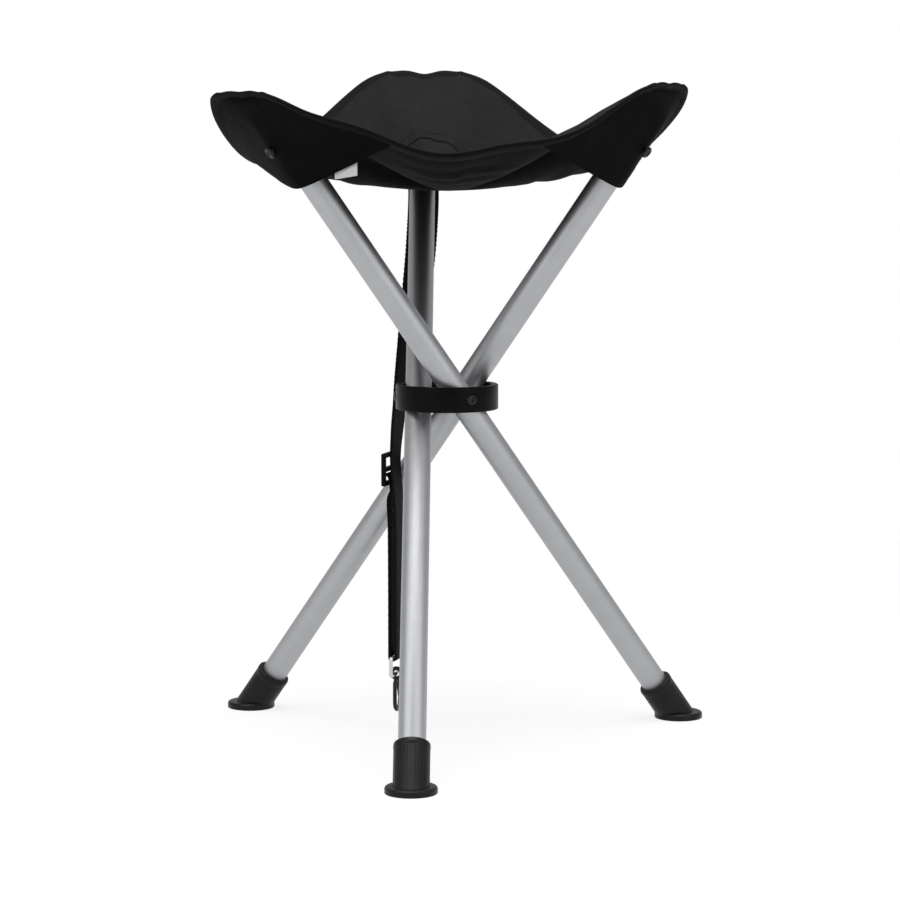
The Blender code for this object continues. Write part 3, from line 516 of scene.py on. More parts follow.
def turned(name, rings, sides, finish):
    """A round solid: a filled circle, extruded from ring to ring of (radius, height)."""
    bpy.ops.object.select_all(action="DESELECT")
    radius, height = rings[0]
    bpy.ops.mesh.primitive_circle_add(vertices=sides, radius=radius, fill_type="NGON",
                                      location=(0, 0, height))
    made = bpy.context.object
    made.name = name
    bpy.ops.object.transform_apply(location=True, rotation=False, scale=False)
    bpy.ops.object.mode_set(mode="EDIT")
    bpy.ops.mesh.select_all(action="SELECT")
    for wide, high in rings[1:]:
        bpy.ops.mesh.extrude_region_move(TRANSFORM_OT_translate={"value": (0, 0, high - height)})
        grow = wide / radius
        bpy.ops.transform.resize(value=(grow, grow, 1.0), center_override=(0, 0, 0))
        radius, height = wide, high
    bpy.ops.object.mode_set(mode="OBJECT")
    face_outward()
    return coat(made, finish, 40.0)


def rounded(radius, height, wide, tall, steps):
    """Rings of a rounded shoulder that starts below the first and ends level at its top."""
    rings = []
    for i in range(1, steps + 1):
        angle = math.radians(90.0 * i / steps)
        rings.append((radius - wide * (1.0 - math.cos(angle)), height + tall * math.sin(angle)))
    return rings


def cutter(radius, low, high, matrix, sides=48):
    """A plain rod used only to cut a hole or to be joined to another piece."""
    bpy.ops.object.select_all(action="DESELECT")
    bpy.ops.mesh.primitive_cylinder_add(vertices=sides, radius=radius, depth=high - low,
                                        location=(0, 0, (high + low) / 2))
    return settle(bpy.context.object, matrix)


def copies(piece, name, matrix):
    """A copy of a finished piece with its own mesh, put in its place."""
    return settle(linked(name, piece.data.copy()), matrix)


ring = cutter(RING_RADIUS, -RING_HEIGHT / 2, RING_HEIGHT / 2, Matrix(), 160)
ring.name = "hub_collar"
combine(ring, cutter(RING_BORE, -RING_HEIGHT, RING_HEIGHT, Matrix(), 160), "DIFFERENCE")
bevel(ring, 0.0012, 5, 50.0)
boss_face = WAIST + TUBE_RADIUS + RUNNING_GAP
for leg, turn in LEG_TURNS.items():
    out = Matrix.Rotation(math.radians(turn), 4, "Z") @ ALONG_X
    combine(ring, cutter(BOSS_RADIUS, boss_face, RING_BORE + 0.002, out), "UNION")
    for hole, low in ((SCREW_HOLE, WAIST), (SCREW_HEAD + 0.00035, RING_RADIUS - SCREW_SINK)):
        combine(ring, cutter(hole, low, RING_RADIUS + CUT_PAST, out), "DIFFERENCE")
ring.data.shade_smooth()
coat(ring, moulded_nylon, 35.0)
settle(ring, Matrix.Translation(HUB_AXIS + up * HUB_HEIGHT))
dress(ring, "hub_ring", "hub")


# Each tube turns on a pan-head screw that goes in through the ring and both walls of the
# tube, into a nut inside the hub. Screws and nuts are steel with a black oxide skin.
black_oxide, tree, shader, place = material("black_oxide_steel", 0.36, metallic=0.9)
bloom = speckle(tree, place, 0.002, 3.0)
tinted(tree, shader, bloom, "1C1C1E", "3A3A3D")
glossed(tree, shader, bloom, 0.26, 0.46)


def pan_screw(name, head, head_height, shank, length, finish):
    """A pan-head screw with a cross recess, its head above z = 0."""
    rings = [(shank * 0.6, -length), (shank, -length + shank * 0.4), (shank, 0.0), (head, 0.0),
             (head, head_height * 0.25)]
    rings += rounded(head, head_height * 0.25, head_height * 0.75, head_height * 0.55, 8)
    rings += [(head * 0.45, head_height * 0.95), (head * 0.2, head_height)]
    made = turned(name, rings, 48, finish)
    for turn in (0.0, 90.0):
        bar = settle(block(head * 1.05, head * 0.2, head_height * 1.1, head_height), Matrix())
        combine(made, settle(bar, Matrix.Rotation(math.radians(turn), 4, "Z")), "DIFFERENCE")
    made.data.shade_smooth()
    smooth_below(35.0)
    return made


screw_under = RING_RADIUS - SCREW_SINK + RUNNING_GAP
nut_high = WAIST - TUBE_RADIUS - RUNNING_GAP
nut_low = nut_high - NUT_HEIGHT
screw = pan_screw("screw", SCREW_HEAD, SCREW_HEIGHT, SCREW_SHANK, screw_under - nut_low,
                  black_oxide)
nut = cutter(NUT_RADIUS, nut_low, nut_high, Matrix(), 6)
bevel(nut, 0.0004, 3)
combine(nut, cutter(SCREW_HOLE, nut_low - 0.002, nut_high + 0.002, Matrix(), 32), "DIFFERENCE")
coat(nut, black_oxide, 35.0)
for leg, turn in LEG_TURNS.items():
    out = (Matrix.Translation(HUB_AXIS + up * HUB_HEIGHT)
           @ Matrix.Rotation(math.radians(turn), 4, "Z") @ ALONG_X)
    made = copies(screw, "pivot_pan_screw_" + leg, out @ Matrix.Translation(up * screw_under))
    dress(made, "pivot_screw_" + leg, "hub")
    dress(copies(nut, "pivot_hex_nut_" + leg, out), "pivot_nut_" + leg, "hub")
bpy.data.objects.remove(screw, do_unlink=True)
bpy.data.objects.remove(nut, do_unlink=True)


# The legs are straight drawn aluminium tubes, 20 mm across, anodised satin. Drawing leaves
# faint lines along the tube that spread a highlight across it.
TUBE_BORE = 0.0088
TOP_LENGTH = 0.2625
LEAN = math.radians(37.0)
BOTTOM_LENGTH = (HUB_HEIGHT - 0.013) / math.cos(LEAN)
satin_tube, tree, shader, place = material(
    "satin_anodised_aluminium", 0.45, metallic=1.0, by_uv=True)
stretch = node(tree, "Mapping", {"vector_type": "POINT"},
               {"Vector": place, "Scale": (1 / 0.0004, 1 / 0.06, 1.0)}).outputs[0]
lines = speckle(tree, stretch, 1.0, 2.0)
tinted(tree, shader, speckle(tree, place, 0.03, 3.0), "B0B1B4", "BCBDBF")
glossed(tree, shader, lines, 0.40, 0.52)
bumped(tree, shader, lines, 0.10, 0.0001)


def leg_matrix(leg):
    """A leg's place: its pivot at the origin, its tube along Z, its under side at -Y."""
    return (Matrix.Translation(HUB_AXIS) @ Matrix.Rotation(math.radians(LEG_TURNS[leg]), 4, "Z")
            @ Matrix.Translation((WAIST, 0.0, HUB_HEIGHT)) @ Matrix.Rotation(LEAN, 4, "X"))


def on_each_leg(*rows):
    """Puts copies of pieces on each leg, from (piece, name, node, slot), and removes the pieces."""
    for leg in LEG_TURNS:
        for piece, name, stands_for, slot in rows:
            dress(copies(piece, name + leg, leg_matrix(leg)), stands_for + leg, "leg_" + leg)
    for row in rows:
        bpy.data.objects.remove(row[0], do_unlink=True)


bpy.ops.object.select_all(action="DESELECT")
bpy.ops.mesh.primitive_cylinder_add(
    vertices=96, radius=TUBE_RADIUS, depth=TOP_LENGTH + BOTTOM_LENGTH, end_fill_type="NOTHING",
    location=(0, 0, (TOP_LENGTH - BOTTOM_LENGTH) / 2))
tube = bpy.context.object
settle(tube, Matrix())
layer = tube.data.uv_layers.active
layer.name = "UVMap"
for slot in layer.data:
    slot.uv = (slot.uv[0] * 2 * math.pi * TUBE_RADIUS,
               slot.uv[1] * (TOP_LENGTH + BOTTOM_LENGTH) * 2)
wall = tube.modifiers.new("wall", "SOLIDIFY")
wall.thickness = TUBE_RADIUS - TUBE_BORE
wall.offset = -1.0
bevel(tube, 0.0003, 2, 60.0)
coat(tube, satin_tube, 35.0)
on_each_leg((tube, "drawn_tube_", "leg_tube_", "tube_metal"))


# A moulded plug closes the top of each tube, so that its cut end doesn't wear the cloth.
CAP_LIP = 0.0024
cap_face = TOP_LENGTH + RUNNING_GAP
rings = [(TUBE_BORE - 0.0006, cap_face - 0.012), (TUBE_BORE - RUNNING_GAP, cap_face - 0.0112),
         (TUBE_BORE - RUNNING_GAP, cap_face), (TUBE_RADIUS, cap_face),
         (TUBE_RADIUS, cap_face + 0.0006)]
rings += rounded(TUBE_RADIUS, cap_face + 0.0006, 0.0018, 0.0015, 6)
rings += [(TUBE_RADIUS * 0.5, cap_face + CAP_LIP - 0.0001), (TUBE_RADIUS * 0.1, cap_face + CAP_LIP)]
cap = turned("cap", rings, 64, moulded_nylon)
on_each_leg((cap, "tube_plug_", "tube_cap_", "black_plastic"))


# Each foot is moulded in one piece: a beaded sleeve that takes the end of the tube, set at
# the leg's lean on a round sole. A small screw through the sleeve's under side holds it.
SLEEVE_RADIUS = 0.013
SLEEVE_REACH = (HUB_HEIGHT - 0.030) / math.cos(LEAN)
SLEEVE_FLUTES = 36
FLUTE_DEPTH = 0.00009
FLOOR_REACH = HUB_HEIGHT / math.cos(LEAN)
FLANGE_RADIUS = 0.01875
FLANGE_HEIGHT = 0.0052
FLANGE_ROUND = 0.002
FOOT_SCREW_PLACE = -(HUB_HEIGHT - 0.025) / math.cos(LEAN)
FOOT_SCREW_HEAD = 0.0033
FOOT_SCREW_HEIGHT = 0.0014
FOOT_SCREW_SHANK = 0.0016
FOOT_SCREW_LENGTH = 0.0055
FOOT_SCREW_SINK = 0.0014
FOOT_SCREW_HOLE = 0.00185
FOOT_HEAD_HOLE = 0.0037
ALONG_MINUS_Y = Matrix.Rotation(math.radians(90.0), 4, "X")
level = Matrix.Translation((0.0, 0.0, -FLOOR_REACH)) @ Matrix.Rotation(-LEAN, 4, "X")
rings = [(SLEEVE_RADIUS, -FLOOR_REACH - SLEEVE_RADIUS), (SLEEVE_RADIUS, -SLEEVE_REACH - 0.0056),
         (SLEEVE_RADIUS, -SLEEVE_REACH - 0.0052)]
for i in range(9):
    angle = math.radians(-90.0 + 180.0 * i / 8)
    rings.append((SLEEVE_RADIUS + 0.0003 * max(math.cos(angle), 0.0),
                  -SLEEVE_REACH - 0.0026 + 0.0022 * math.sin(angle)))
rings += [(SLEEVE_RADIUS - 0.0004, -SLEEVE_REACH - 0.0001), (SLEEVE_RADIUS - 0.001, -SLEEVE_REACH)]
foot = turned("foot", rings, SLEEVE_FLUTES * 4, moulded_rubber)
for vertex in foot.data.vertices:
    if vertex.co.z < -SLEEVE_REACH - 0.0052:
        flute = math.cos(math.atan2(vertex.co.y, vertex.co.x) * SLEEVE_FLUTES)
        vertex.co.xy *= 1.0 + FLUTE_DEPTH * flute / SLEEVE_RADIUS
bpy.ops.object.mode_set(mode="EDIT")
bpy.ops.mesh.select_all(action="SELECT")
floor_normal = level.to_3x3() @ up
bpy.ops.mesh.bisect(plane_co=level @ (up * FLANGE_HEIGHT / 2), plane_no=floor_normal,
                    use_fill=True, clear_inner=True)
bpy.ops.object.mode_set(mode="OBJECT")
flange_edge = FLANGE_HEIGHT - FLANGE_ROUND
rings = [(FLANGE_RADIUS - 0.0005, 0.0), (FLANGE_RADIUS, 0.0005), (FLANGE_RADIUS, flange_edge)]
rings += rounded(FLANGE_RADIUS, flange_edge, FLANGE_ROUND, FLANGE_ROUND, 8)
sole = turned("sole", rings, 112, moulded_rubber)
settle(sole, level)
combine(foot, sole, "UNION")
combine(foot, cutter(TUBE_RADIUS + RUNNING_GAP, -BOTTOM_LENGTH - RUNNING_GAP, -SLEEVE_REACH + 0.02,
                     Matrix(), 80), "DIFFERENCE")
screw_way = Matrix.Translation((0.0, 0.0, FOOT_SCREW_PLACE)) @ ALONG_MINUS_Y
for hole, low, sides in ((FOOT_SCREW_HOLE, 0.0, 32),
                         (FOOT_HEAD_HOLE, SLEEVE_RADIUS - FOOT_SCREW_SINK, 40)):
    combine(foot, cutter(hole, low, SLEEVE_RADIUS * 1.5, screw_way, sides), "DIFFERENCE")
pick(foot)
foot.data.shade_smooth()
smooth_below(35.0)
foot_screw = pan_screw("foot_screw", FOOT_SCREW_HEAD, FOOT_SCREW_HEIGHT, FOOT_SCREW_SHANK,
                       FOOT_SCREW_LENGTH, black_oxide)
screw_seat = SLEEVE_RADIUS - FOOT_SCREW_SINK + RUNNING_GAP
settle(foot_screw, screw_way @ Matrix.Translation(up * screw_seat))
on_each_leg((foot, "moulded_foot_", "foot_", "black_plastic"),
            (foot_screw, "foot_pan_screw_", "foot_screw_", "black_steel"))


# The seat is one three-cornered piece of coated polyester cloth, slung by a pocket at each
# corner. It is drawn as three kites that meet where the cloth hangs from the hub's side.
CLOTH = 0.0014
CLOTH_GAP = 0.0004
CLOTH_ROOM = 0.0016
EAR_REACH = TOP_LENGTH * math.sin(LEAN) + 0.022
EAR_FLAT = 0.0297
TIP_OVER_TUBE = {"a": 0.0177, "b": 0.0243, "c": 0.0384}
TIP_HEIGHT = {leg: TOP_LENGTH * math.cos(LEAN) + over for leg, over in TIP_OVER_TUBE.items()}
TIP_DIP = 0.002
TIP_PUCKER = {"a": 0.0009, "b": 0.0012, "c": 0.0034}
CORNER_DROP = 0.0032
CORNER_ROUND = 0.012
EAR_DRAWN_IN = {"a": 0.0, "b": 0.006, "c": 0.0}
EDGE_REACH = 0.150
EDGE_BOW = -0.0114
SHOULDER = 0.094
EDGE_SAG = {"ab": 0.048, "bc": 0.070, "ac": 0.063}
SAG_CURVE = {"ab": 1.8, "bc": 1.35, "ac": 1.5}
EDGE_LEAN = {"ab": 0.0, "bc": 0.005, "ac": 0.011}
EDGE_RIPPLE = {"ab": 0.0026, "bc": 0.0007, "ac": 0.0007}
RIPPLE_LENGTH = 0.100
SEAT_CENTRE = 0.155
BINDING_HALF_WIDTH = 0.0033
TAPE_HALF_WIDTH = 0.0064
TAPE_HALF_HEIGHT = 0.0019
TAPE_INSET = 0.0026
STITCH_PITCH = 0.0034
THREAD_RADIUS = 0.00032
THREAD_STAND = 0.00028
EAR_TURN = math.atan2(WAIST, EAR_REACH)
HALF_CORNER = math.radians(30.0)

# Coated polyester: a plain weave of fine yarn, near black, drawn in two copies. The lighter
# copy, on the seat's upper face, has painted light for the light from above; the darker copy,
# on its under face and on the pockets, has painted shade. The yarns are 0.35 mm apart and are drawn
# 0.8 mm apart so that they show.
cloth_faces = []
for name, dark, light, shine, sheen in (
        ("polyester_weave_painted_light", "0D0D0E", "1A1A1C", 0.07, 0.01),
        ("polyester_weave_painted_shade", "080809", "101011", 0.03, 0.0)):
    cloth_face, tree, shader, place = material(name, 0.74, shine, by_uv=True)
    warp = bands(tree, place, "X", 0.0008, 1.0)
    weft = bands(tree, place, "Y", 0.0008, 1.0)
    cross = node(tree, "Math", {"operation": "MULTIPLY"}, {0: warp, 1: weft}).outputs[0]
    mottle = speckle(tree, place, 0.012, 5.0)
    mixed = weighed(tree, cross, 0.35, mottle)
    tinted(tree, shader, mixed, dark, light)
    shader.inputs["Sheen Weight"].default_value = sheen
    shader.inputs["Sheen Roughness"].default_value = 0.5
    bumped(tree, shader, cross, 0.35, 0.0003)
    cloth_faces.append(cloth_face)
lit_face_weave, shaded_face_weave = cloth_faces


def edge_place(along):
    """A point of the long edge, a distance along it from its middle, as (reach, side)."""
    out = EDGE_REACH + EDGE_BOW * (along / SHOULDER) ** 2
    return (along * math.cos(HALF_CORNER) + out * math.sin(HALF_CORNER),
            out * math.cos(HALF_CORNER) - along * math.sin(HALF_CORNER))


def half_outline(start, edge_steps, corner_steps, tip_steps):
    """Half of an ear's outline, from the long edge to the tip, as (reach, side) points."""
    points = [edge_place(start + (SHOULDER - start) * i / edge_steps) for i in range(edge_steps)]
    shoulder = Vector(edge_place(SHOULDER))
    slope = (shoulder - Vector(edge_place(SHOULDER * 0.99))).normalized()
    corner = shoulder + slope * ((EAR_REACH - shoulder.x) / slope.x)
    tip = Vector((EAR_REACH, EAR_FLAT))
    for i in range(corner_steps):
        t = i / corner_steps
        points.append(tuple(shoulder * (1 - t) ** 2 + corner * 2 * t * (1 - t) + tip * t * t))
    points += [(EAR_REACH, EAR_FLAT * (1.0 - i / tip_steps)) for i in range(tip_steps + 1)]
    return points


def fold(distance, width):
    """A soft rounded fold across a distance, 1 on its crest and 0 away from it."""
    return math.exp(-(distance / width) ** 2)


def rim_point(leg, reach, side):
    """The outline point's place and its rise, from 0 at an edge's middle to 1 at the ear."""
    along = reach * math.cos(HALF_CORNER) - abs(side) * math.sin(HALF_CORNER)
    full = EAR_REACH * math.cos(HALF_CORNER) - EAR_FLAT * math.sin(HALF_CORNER)
    share = min(1.0, max(0.0, along) / full)
    order = "abc"
    beside = order[(order.index(leg) + (1 if side > 0 else 2)) % 3]
    edge = "".join(sorted((leg, beside)))
    rise = share ** SAG_CURVE[edge]
    middle = (TIP_HEIGHT[leg] + TIP_HEIGHT[beside]) / 2.0 - EDGE_SAG[edge]
    lean = EDGE_LEAN[edge] * (1.0 if leg == "c" else -1.0)
    height = middle + (TIP_HEIGHT[leg] - middle) * rise + lean * share * (1.0 - share ** 2) ** 2
    ripple = EDGE_RIPPLE[edge] * (1.0 if leg > beside else -1.0)
    height += ripple * math.sin(2.0 * math.pi * along / RIPPLE_LENGTH) * (1.0 - share ** 6)
    height -= CORNER_DROP * fold(abs(side) - EAR_FLAT, CORNER_ROUND)
    if abs(side) < EAR_FLAT:
        height -= TIP_DIP * (1.0 - (side / EAR_FLAT) ** 2) + TIP_PUCKER[leg] * fold(side, 0.011)
    reach -= EAR_DRAWN_IN[leg] * share ** 4
    turn = math.radians(LEG_TURNS[leg] - 90.0) + EAR_TURN
    x = reach * math.cos(turn) - side * math.sin(turn)
    y = reach * math.sin(turn) + side * math.cos(turn)
    return Vector((x, y, HUB_HEIGHT + height)), rise


def ear_outline(leg, start, edge_steps, corner_steps, tip_steps):
    """An ear's outline from its right-hand edge round the tip to its left-hand edge."""
    half = half_outline(start, edge_steps, corner_steps, tip_steps)
    places = [(reach, -side) for reach, side in half] + half[-2::-1]
    return [(*rim_point(leg, reach, side), reach, side) for reach, side in places]


def over_tube(leg, x, y):
    """The least height of the cloth over a tube's end, and how fully the tube counts there."""
    turn = math.radians(LEG_TURNS[leg])
    side = x * math.cos(turn) + y * math.sin(turn) - WAIST
    run = x * math.sin(turn) - y * math.cos(turn)
    clear = TUBE_RADIUS + CLOTH / 2 + CLOTH_ROOM
    if abs(side) >= clear or run < 0.0:
        return None, 0.0
    over = math.sqrt(clear * clear - side * side)
    end = TOP_LENGTH + CAP_LIP + RUNNING_GAP + CLOTH / 2 + CLOTH_ROOM
    on_side = run / math.tan(LEAN) + over / math.sin(LEAN)
    on_end = end * math.cos(LEAN) - (run - end * math.sin(LEAN)) * math.tan(LEAN)
    return HUB_HEIGHT + min(on_side, on_end), 1.0 - (side / clear) ** 2


def seat_point(rim, rise, part):
    """The seat's surface, part of the way from its centre to a point of its outline."""
    centre = HUB_HEIGHT + SEAT_CENTRE
    power = 2.0 - 0.95 * rise
    x = rim.x * part
    y = rim.y * part
    z = centre + (rim.z - centre) * part ** power
    for other in LEG_TURNS:
        least, counts = over_tube(other, x, y)
        if least is not None and part < 0.985:
            lift = least - z
            z += (lift + math.sqrt(lift * lift + (0.004 * counts) ** 2)) / 2.0
    return Vector((x, y, z))


def cloth_folds(leg, point, part):
    """How far the cloth stands off its smooth form: soft folds, ripples and small creases."""
    turn = math.radians(LEG_TURNS[leg] - 90.0) + EAR_TURN
    reach = point.x * math.cos(turn) + point.y * math.sin(turn)
    side = point.y * math.cos(turn) - point.x * math.sin(turn)
    up_ear = fold(reach - 0.135, 0.045)
    high = 0.0016 * up_ear * (fold(side - 0.030, 0.006) + 0.8 * fold(side + 0.033, 0.007))
    high -= 0.0011 * up_ear * (fold(side - 0.019, 0.005) + fold(side + 0.020, 0.005))
    slant = side * 0.8 + (reach - 0.06) * 0.6
    slant_two = side * 0.8 - (reach - 0.06) * 0.6
    middle = fold(reach - 0.055, 0.030) * min(abs(side) / 0.05, 1.0)
    high += 0.0009 * middle * math.sin(slant * 2 * math.pi / 0.034) * fold(side - 0.075, 0.03)
    high += 0.0008 * middle * math.sin(slant_two * 2 * math.pi / 0.029) * fold(side + 0.075, 0.03)
    high += 0.0007 * noise.noise(point * 28.0) * min(part * 3.0, 1.0)
    high += 0.00035 * noise.noise(point * 85.0) * part
    return high * min((1.0 - part) / 0.06, 1.0)


def shell(name, middle, half, uv, finish, pole, under=None):
    """A closed cloth shell round rows of middle points, with smooth normals on both faces."""
    rows, columns = middle.shape[:2]
    down = np.gradient(middle, axis=0)
    right = np.gradient(middle, axis=1)
    if pole:
        right[0] = right[1]
    normal = np.cross(right, down)
    length = np.linalg.norm(normal, axis=2, keepdims=True)
    normal = normal / np.maximum(length, 1e-12)
    if pole:
        normal[0] = (0.0, 0.0, 1.0) if normal[1].mean(axis=0)[2] > 0 else (0.0, 0.0, -1.0)
    sides = []
    for sign in (1.0, -1.0):
        layer = middle + normal * half[..., None] * sign
        if pole:
            layer[0] = layer[0].mean(axis=0)
        sides.append(layer)
    first = 1 if pole else 0
    per_side = (rows - first) * columns + first

    def index(side, i, j):
        return side * per_side + (0 if pole and i == 0 else first + (i - first) * columns + j)

    points = []
    normals = []
    places = []
    for sign, layer in zip((1.0, -1.0), sides):
        if pole:
            points.append(layer[0, 0])
            normals.append(normal[0, 0] * sign)
            places.append(uv[0, columns // 2])
        points += list(layer[first:].reshape(-1, 3))
        normals += list((normal[first:] * sign).reshape(-1, 3))
        places += list(uv[first:].reshape(-1, 2))
    faces = []
    for i in range(rows - 1):
        for j in range(columns - 1):
            top = [index(0, i, j), index(0, i, j + 1), index(0, i + 1, j + 1), index(0, i + 1, j)]
            low = [index(1, i, j), index(1, i + 1, j), index(1, i + 1, j + 1), index(1, i, j + 1)]
            if pole and i == 0:
                top.pop(1)
                low.pop(3)
            faces += [tuple(top), tuple(low)]
    border = [(i, 0) for i in range(rows)] + [(rows - 1, j) for j in range(1, columns)]
    border += [(i, columns - 1) for i in range(rows - 2, -1, -1)]
    if not pole:
        border += [(0, j) for j in range(columns - 2, -1, -1)]
    for (a, b), (c, d) in zip(border, border[1:]):
        faces.append((index(0, a, b), index(1, a, b), index(1, c, d), index(0, c, d))[::-1])
    made = surface(name, points, faces, places, finish, normals)
    if under is not None:
        made.data.materials.append(under)
        for number in range(1, 2 * (rows - 1) * (columns - 1), 2):
            made.data.polygons[number].material_index = 1
    return made


def rim_frames(outline):
    """At each outline point: the way out across the edge, and the cloth's normal."""
    frames = []
    for i, (rim, rise, reach, side) in enumerate(outline):
        after = outline[min(i + 1, len(outline) - 1)][0]
        before = outline[max(i - 1, 0)][0]
        ahead = (after - before).normalized()
        inward = (seat_point(rim, rise, 0.955) - rim).normalized()
        upward = ahead.cross(inward).normalized()
        frames.append((upward.cross(ahead).normalized() * -1.0, upward))
    return frames


def follow_leg(piece):
    """Bakes a cloth piece's place into its mesh and leaves its object at the origin."""
    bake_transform(piece)


seat_pieces = {}
seat_rings = 56
for leg in LEG_TURNS:
    outline = ear_outline(leg, 0.0, 26, 10, 8)
    frames = rim_frames(outline)
    middle = np.zeros((seat_rings + 1, len(outline), 3))
    places = np.zeros((seat_rings + 1, len(outline), 2))
    for j, ((rim, rise, reach, side), (out, upward)) in enumerate(zip(outline, frames)):
        edge = rim - out * BINDING_HALF_WIDTH * 0.55
        last = math.hypot(edge.x, edge.y) / math.hypot(rim.x, rim.y)
        for i in range(seat_rings + 1):
            part = i / seat_rings
            point = seat_point(rim, rise, part * last) if i < seat_rings else edge
            lift = (CLOTH + CLOTH_GAP) / 2.0 * part + cloth_folds(leg, point, part)
            middle[i, j] = point + upward.lerp(up, 1.0 - part).normalized() * lift + HUB_AXIS
            places[i, j] = (point.x, point.y * 1.08)
    half = np.full(middle.shape[:2], CLOTH / 2)
    # The upper face takes the lighter weave, with painted light; the under face and rim take the
    # darker weave, with painted shade.
    kite = shell("seat_sling_" + leg, middle, half, places, shaded_face_weave, True, lit_face_weave)
    seat_pieces[leg] = kite
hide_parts("seat_cloth")


# The seat's edge is bound all round with a folded woven tape, sewn through with one line of
# black thread that shows as a row of small stitches inside its edge.
tape_weave, tree, shader, place = material("woven_binding_tape", 0.68, 0.05, by_uv=True)
cords = bands(tree, place, "Y", 0.0014, 0.8, 1.0)
rows = bands(tree, place, "X", 0.0020, 0.5, 1.0)
cross = weighed(tree, rows, 0.4, cords)
tinted(tree, shader, cross, "040405", "161618")
bumped(tree, shader, cross, 0.7, 0.0005)

# Bonded polyester thread: round, tight and a touch shinier than the cloth it is sewn into.
sewing_thread, tree, shader, place = material("bonded_thread", 0.45, 0.1)
tinted(tree, shader, speckle(tree, place, 0.0006, 1.0), "040404", "0D0D0E")


def stitches(name, line, ups):
    """Short lengths of thread lying end to end along a line on a surface."""
    travelled = [0.0]
    for a, b in zip(line, line[1:]):
        travelled.append(travelled[-1] + (b - a).length)
    points = []
    faces = []
    count = int(travelled[-1] / STITCH_PITCH)
    for k in range(count):
        ends = []
        for share in (k + 0.12, k + 0.88):
            target = share * travelled[-1] / count
            i = max(0, int(np.searchsorted(travelled, target)) - 1)
            i = min(i, len(line) - 2)
            t = (target - travelled[i]) / max(travelled[i + 1] - travelled[i], 1e-9)
            ends.append((line[i].lerp(line[i + 1], t), ups[i]))
        (start, high), (end, _) = ends
        ahead = (end - start).normalized()
        aside = ahead.cross(high).normalized()
        base = len(points)
        for share, size, stand in ((0.0, 0.35, -0.2), (0.2, 1.0, 0.35),
                                   (0.8, 1.0, 0.35), (1.0, 0.35, -0.2)):
            middle = start.lerp(end, share) + high * (THREAD_STAND * stand)
            for turn in range(6):
                angle = math.radians(60.0 * turn)
                spoke = aside * math.cos(angle) + high * math.sin(angle)
                points.append(middle + spoke * THREAD_RADIUS * size)
        for ring_i in range(3):
            for turn in range(6):
                a = base + ring_i * 6 + turn
                b = base + ring_i * 6 + (turn + 1) % 6
                faces.append((a, b, b + 6, a + 6))
        faces.append(tuple(base + i for i in range(6))[::-1])
        faces.append(tuple(base + 18 + i for i in range(6)))
    return surface(name, points, faces, [(0.0, 0.0)] * len(points), sewing_thread)


binding_pieces = {}
stitch_pieces = {}
for leg in LEG_TURNS:
    outline = ear_outline(leg, 0.0, 44, 18, 10)
    frames = rim_frames(outline)
    rings = []
    along = []
    travelled = 0.0
    top_line = []
    low_line = []
    for i, ((rim, rise, reach, side), (out, upward)) in enumerate(zip(outline, frames)):
        if i:
            travelled += (rim - outline[i - 1][0]).length
        wave = 0.00025 * noise.noise(rim * 60.0)
        loop = []
        for k in range(16):
            angle = 2 * math.pi * k / 16
            flat = math.copysign(abs(math.cos(angle)) ** 0.75, math.cos(angle))
            tall = math.copysign(abs(math.sin(angle)) ** 0.75, math.sin(angle))
            loop.append(rim + HUB_AXIS + out * (TAPE_HALF_WIDTH * flat - TAPE_INSET)
                        + upward * ((TAPE_HALF_HEIGHT + wave) * tall))
        rings.append(loop)
        along.append(travelled)
        seam = rim + HUB_AXIS - out * (TAPE_INSET + TAPE_HALF_WIDTH * 0.72)
        top_line.append(seam + upward * (TAPE_HALF_HEIGHT + wave - 0.0003))
        low_line.append(seam - upward * (TAPE_HALF_HEIGHT + wave - 0.0003))
    around = [0.0018 * k for k in range(16)]
    tape = swept("binding_tape_" + leg, rings, along, around, tape_weave)
    binding_pieces[leg] = tape
    over = stitches("tape_stitches_" + leg, top_line, [upward for _, upward in frames])
    under = stitches("tape_under_stitches_" + leg, low_line, [-upward for _, upward in frames])
    stitch_pieces[leg] = [over, under]
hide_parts("edge_binding")


# A round patch doubles the cloth where the sitter's weight hangs. Its turned-in edge is a low
# welt with a row of stitches outside it, and shows on the back part of the seat.
bpy.context.view_layer.update()
patch_lines = []
for reach, wide, tall, opening in ((0.050, 0.034, 0.0270, 62.0), (0.052, 0.046, 0.0345, 70.0)):
    line = []
    ups = []
    for i in range(61):
        angle = math.radians(opening * (i / 30.0 - 1.0))
        above = Vector((wide * math.sin(angle) - 0.0205, reach + tall * math.cos(angle), 0.6))
        found, spot, normal, _ = seat_pieces["c"].ray_cast(HUB_AXIS + above, -up)
        if found:
            line.append(spot)
            ups.append(normal)
    patch_lines.append((line, ups))
(line, ups), (outer_line, outer_ups) = patch_lines
rings = []
along = []
for i, (spot, normal) in enumerate(zip(line, ups)):
    ahead = (line[min(i + 1, len(line) - 1)] - line[max(i - 1, 0)]).normalized()
    aside = ahead.cross(normal).normalized()
    taper = min(1.0, 0.15 + min(i, len(line) - 1 - i) / 6.0)
    rings.append([spot + (aside * (0.0011 * math.cos(k * math.pi / 4)) + normal
                          * (0.0008 * math.sin(k * math.pi / 4))) * taper for k in range(8)])
    along.append(i * 0.001)
welt = swept("patch_welt", rings, along, [0.0009 * k for k in range(8)], tape_weave)
patch_row = stitches("patch_stitches", outer_line, outer_ups)
stitch_pieces["c"] += [welt, patch_row]


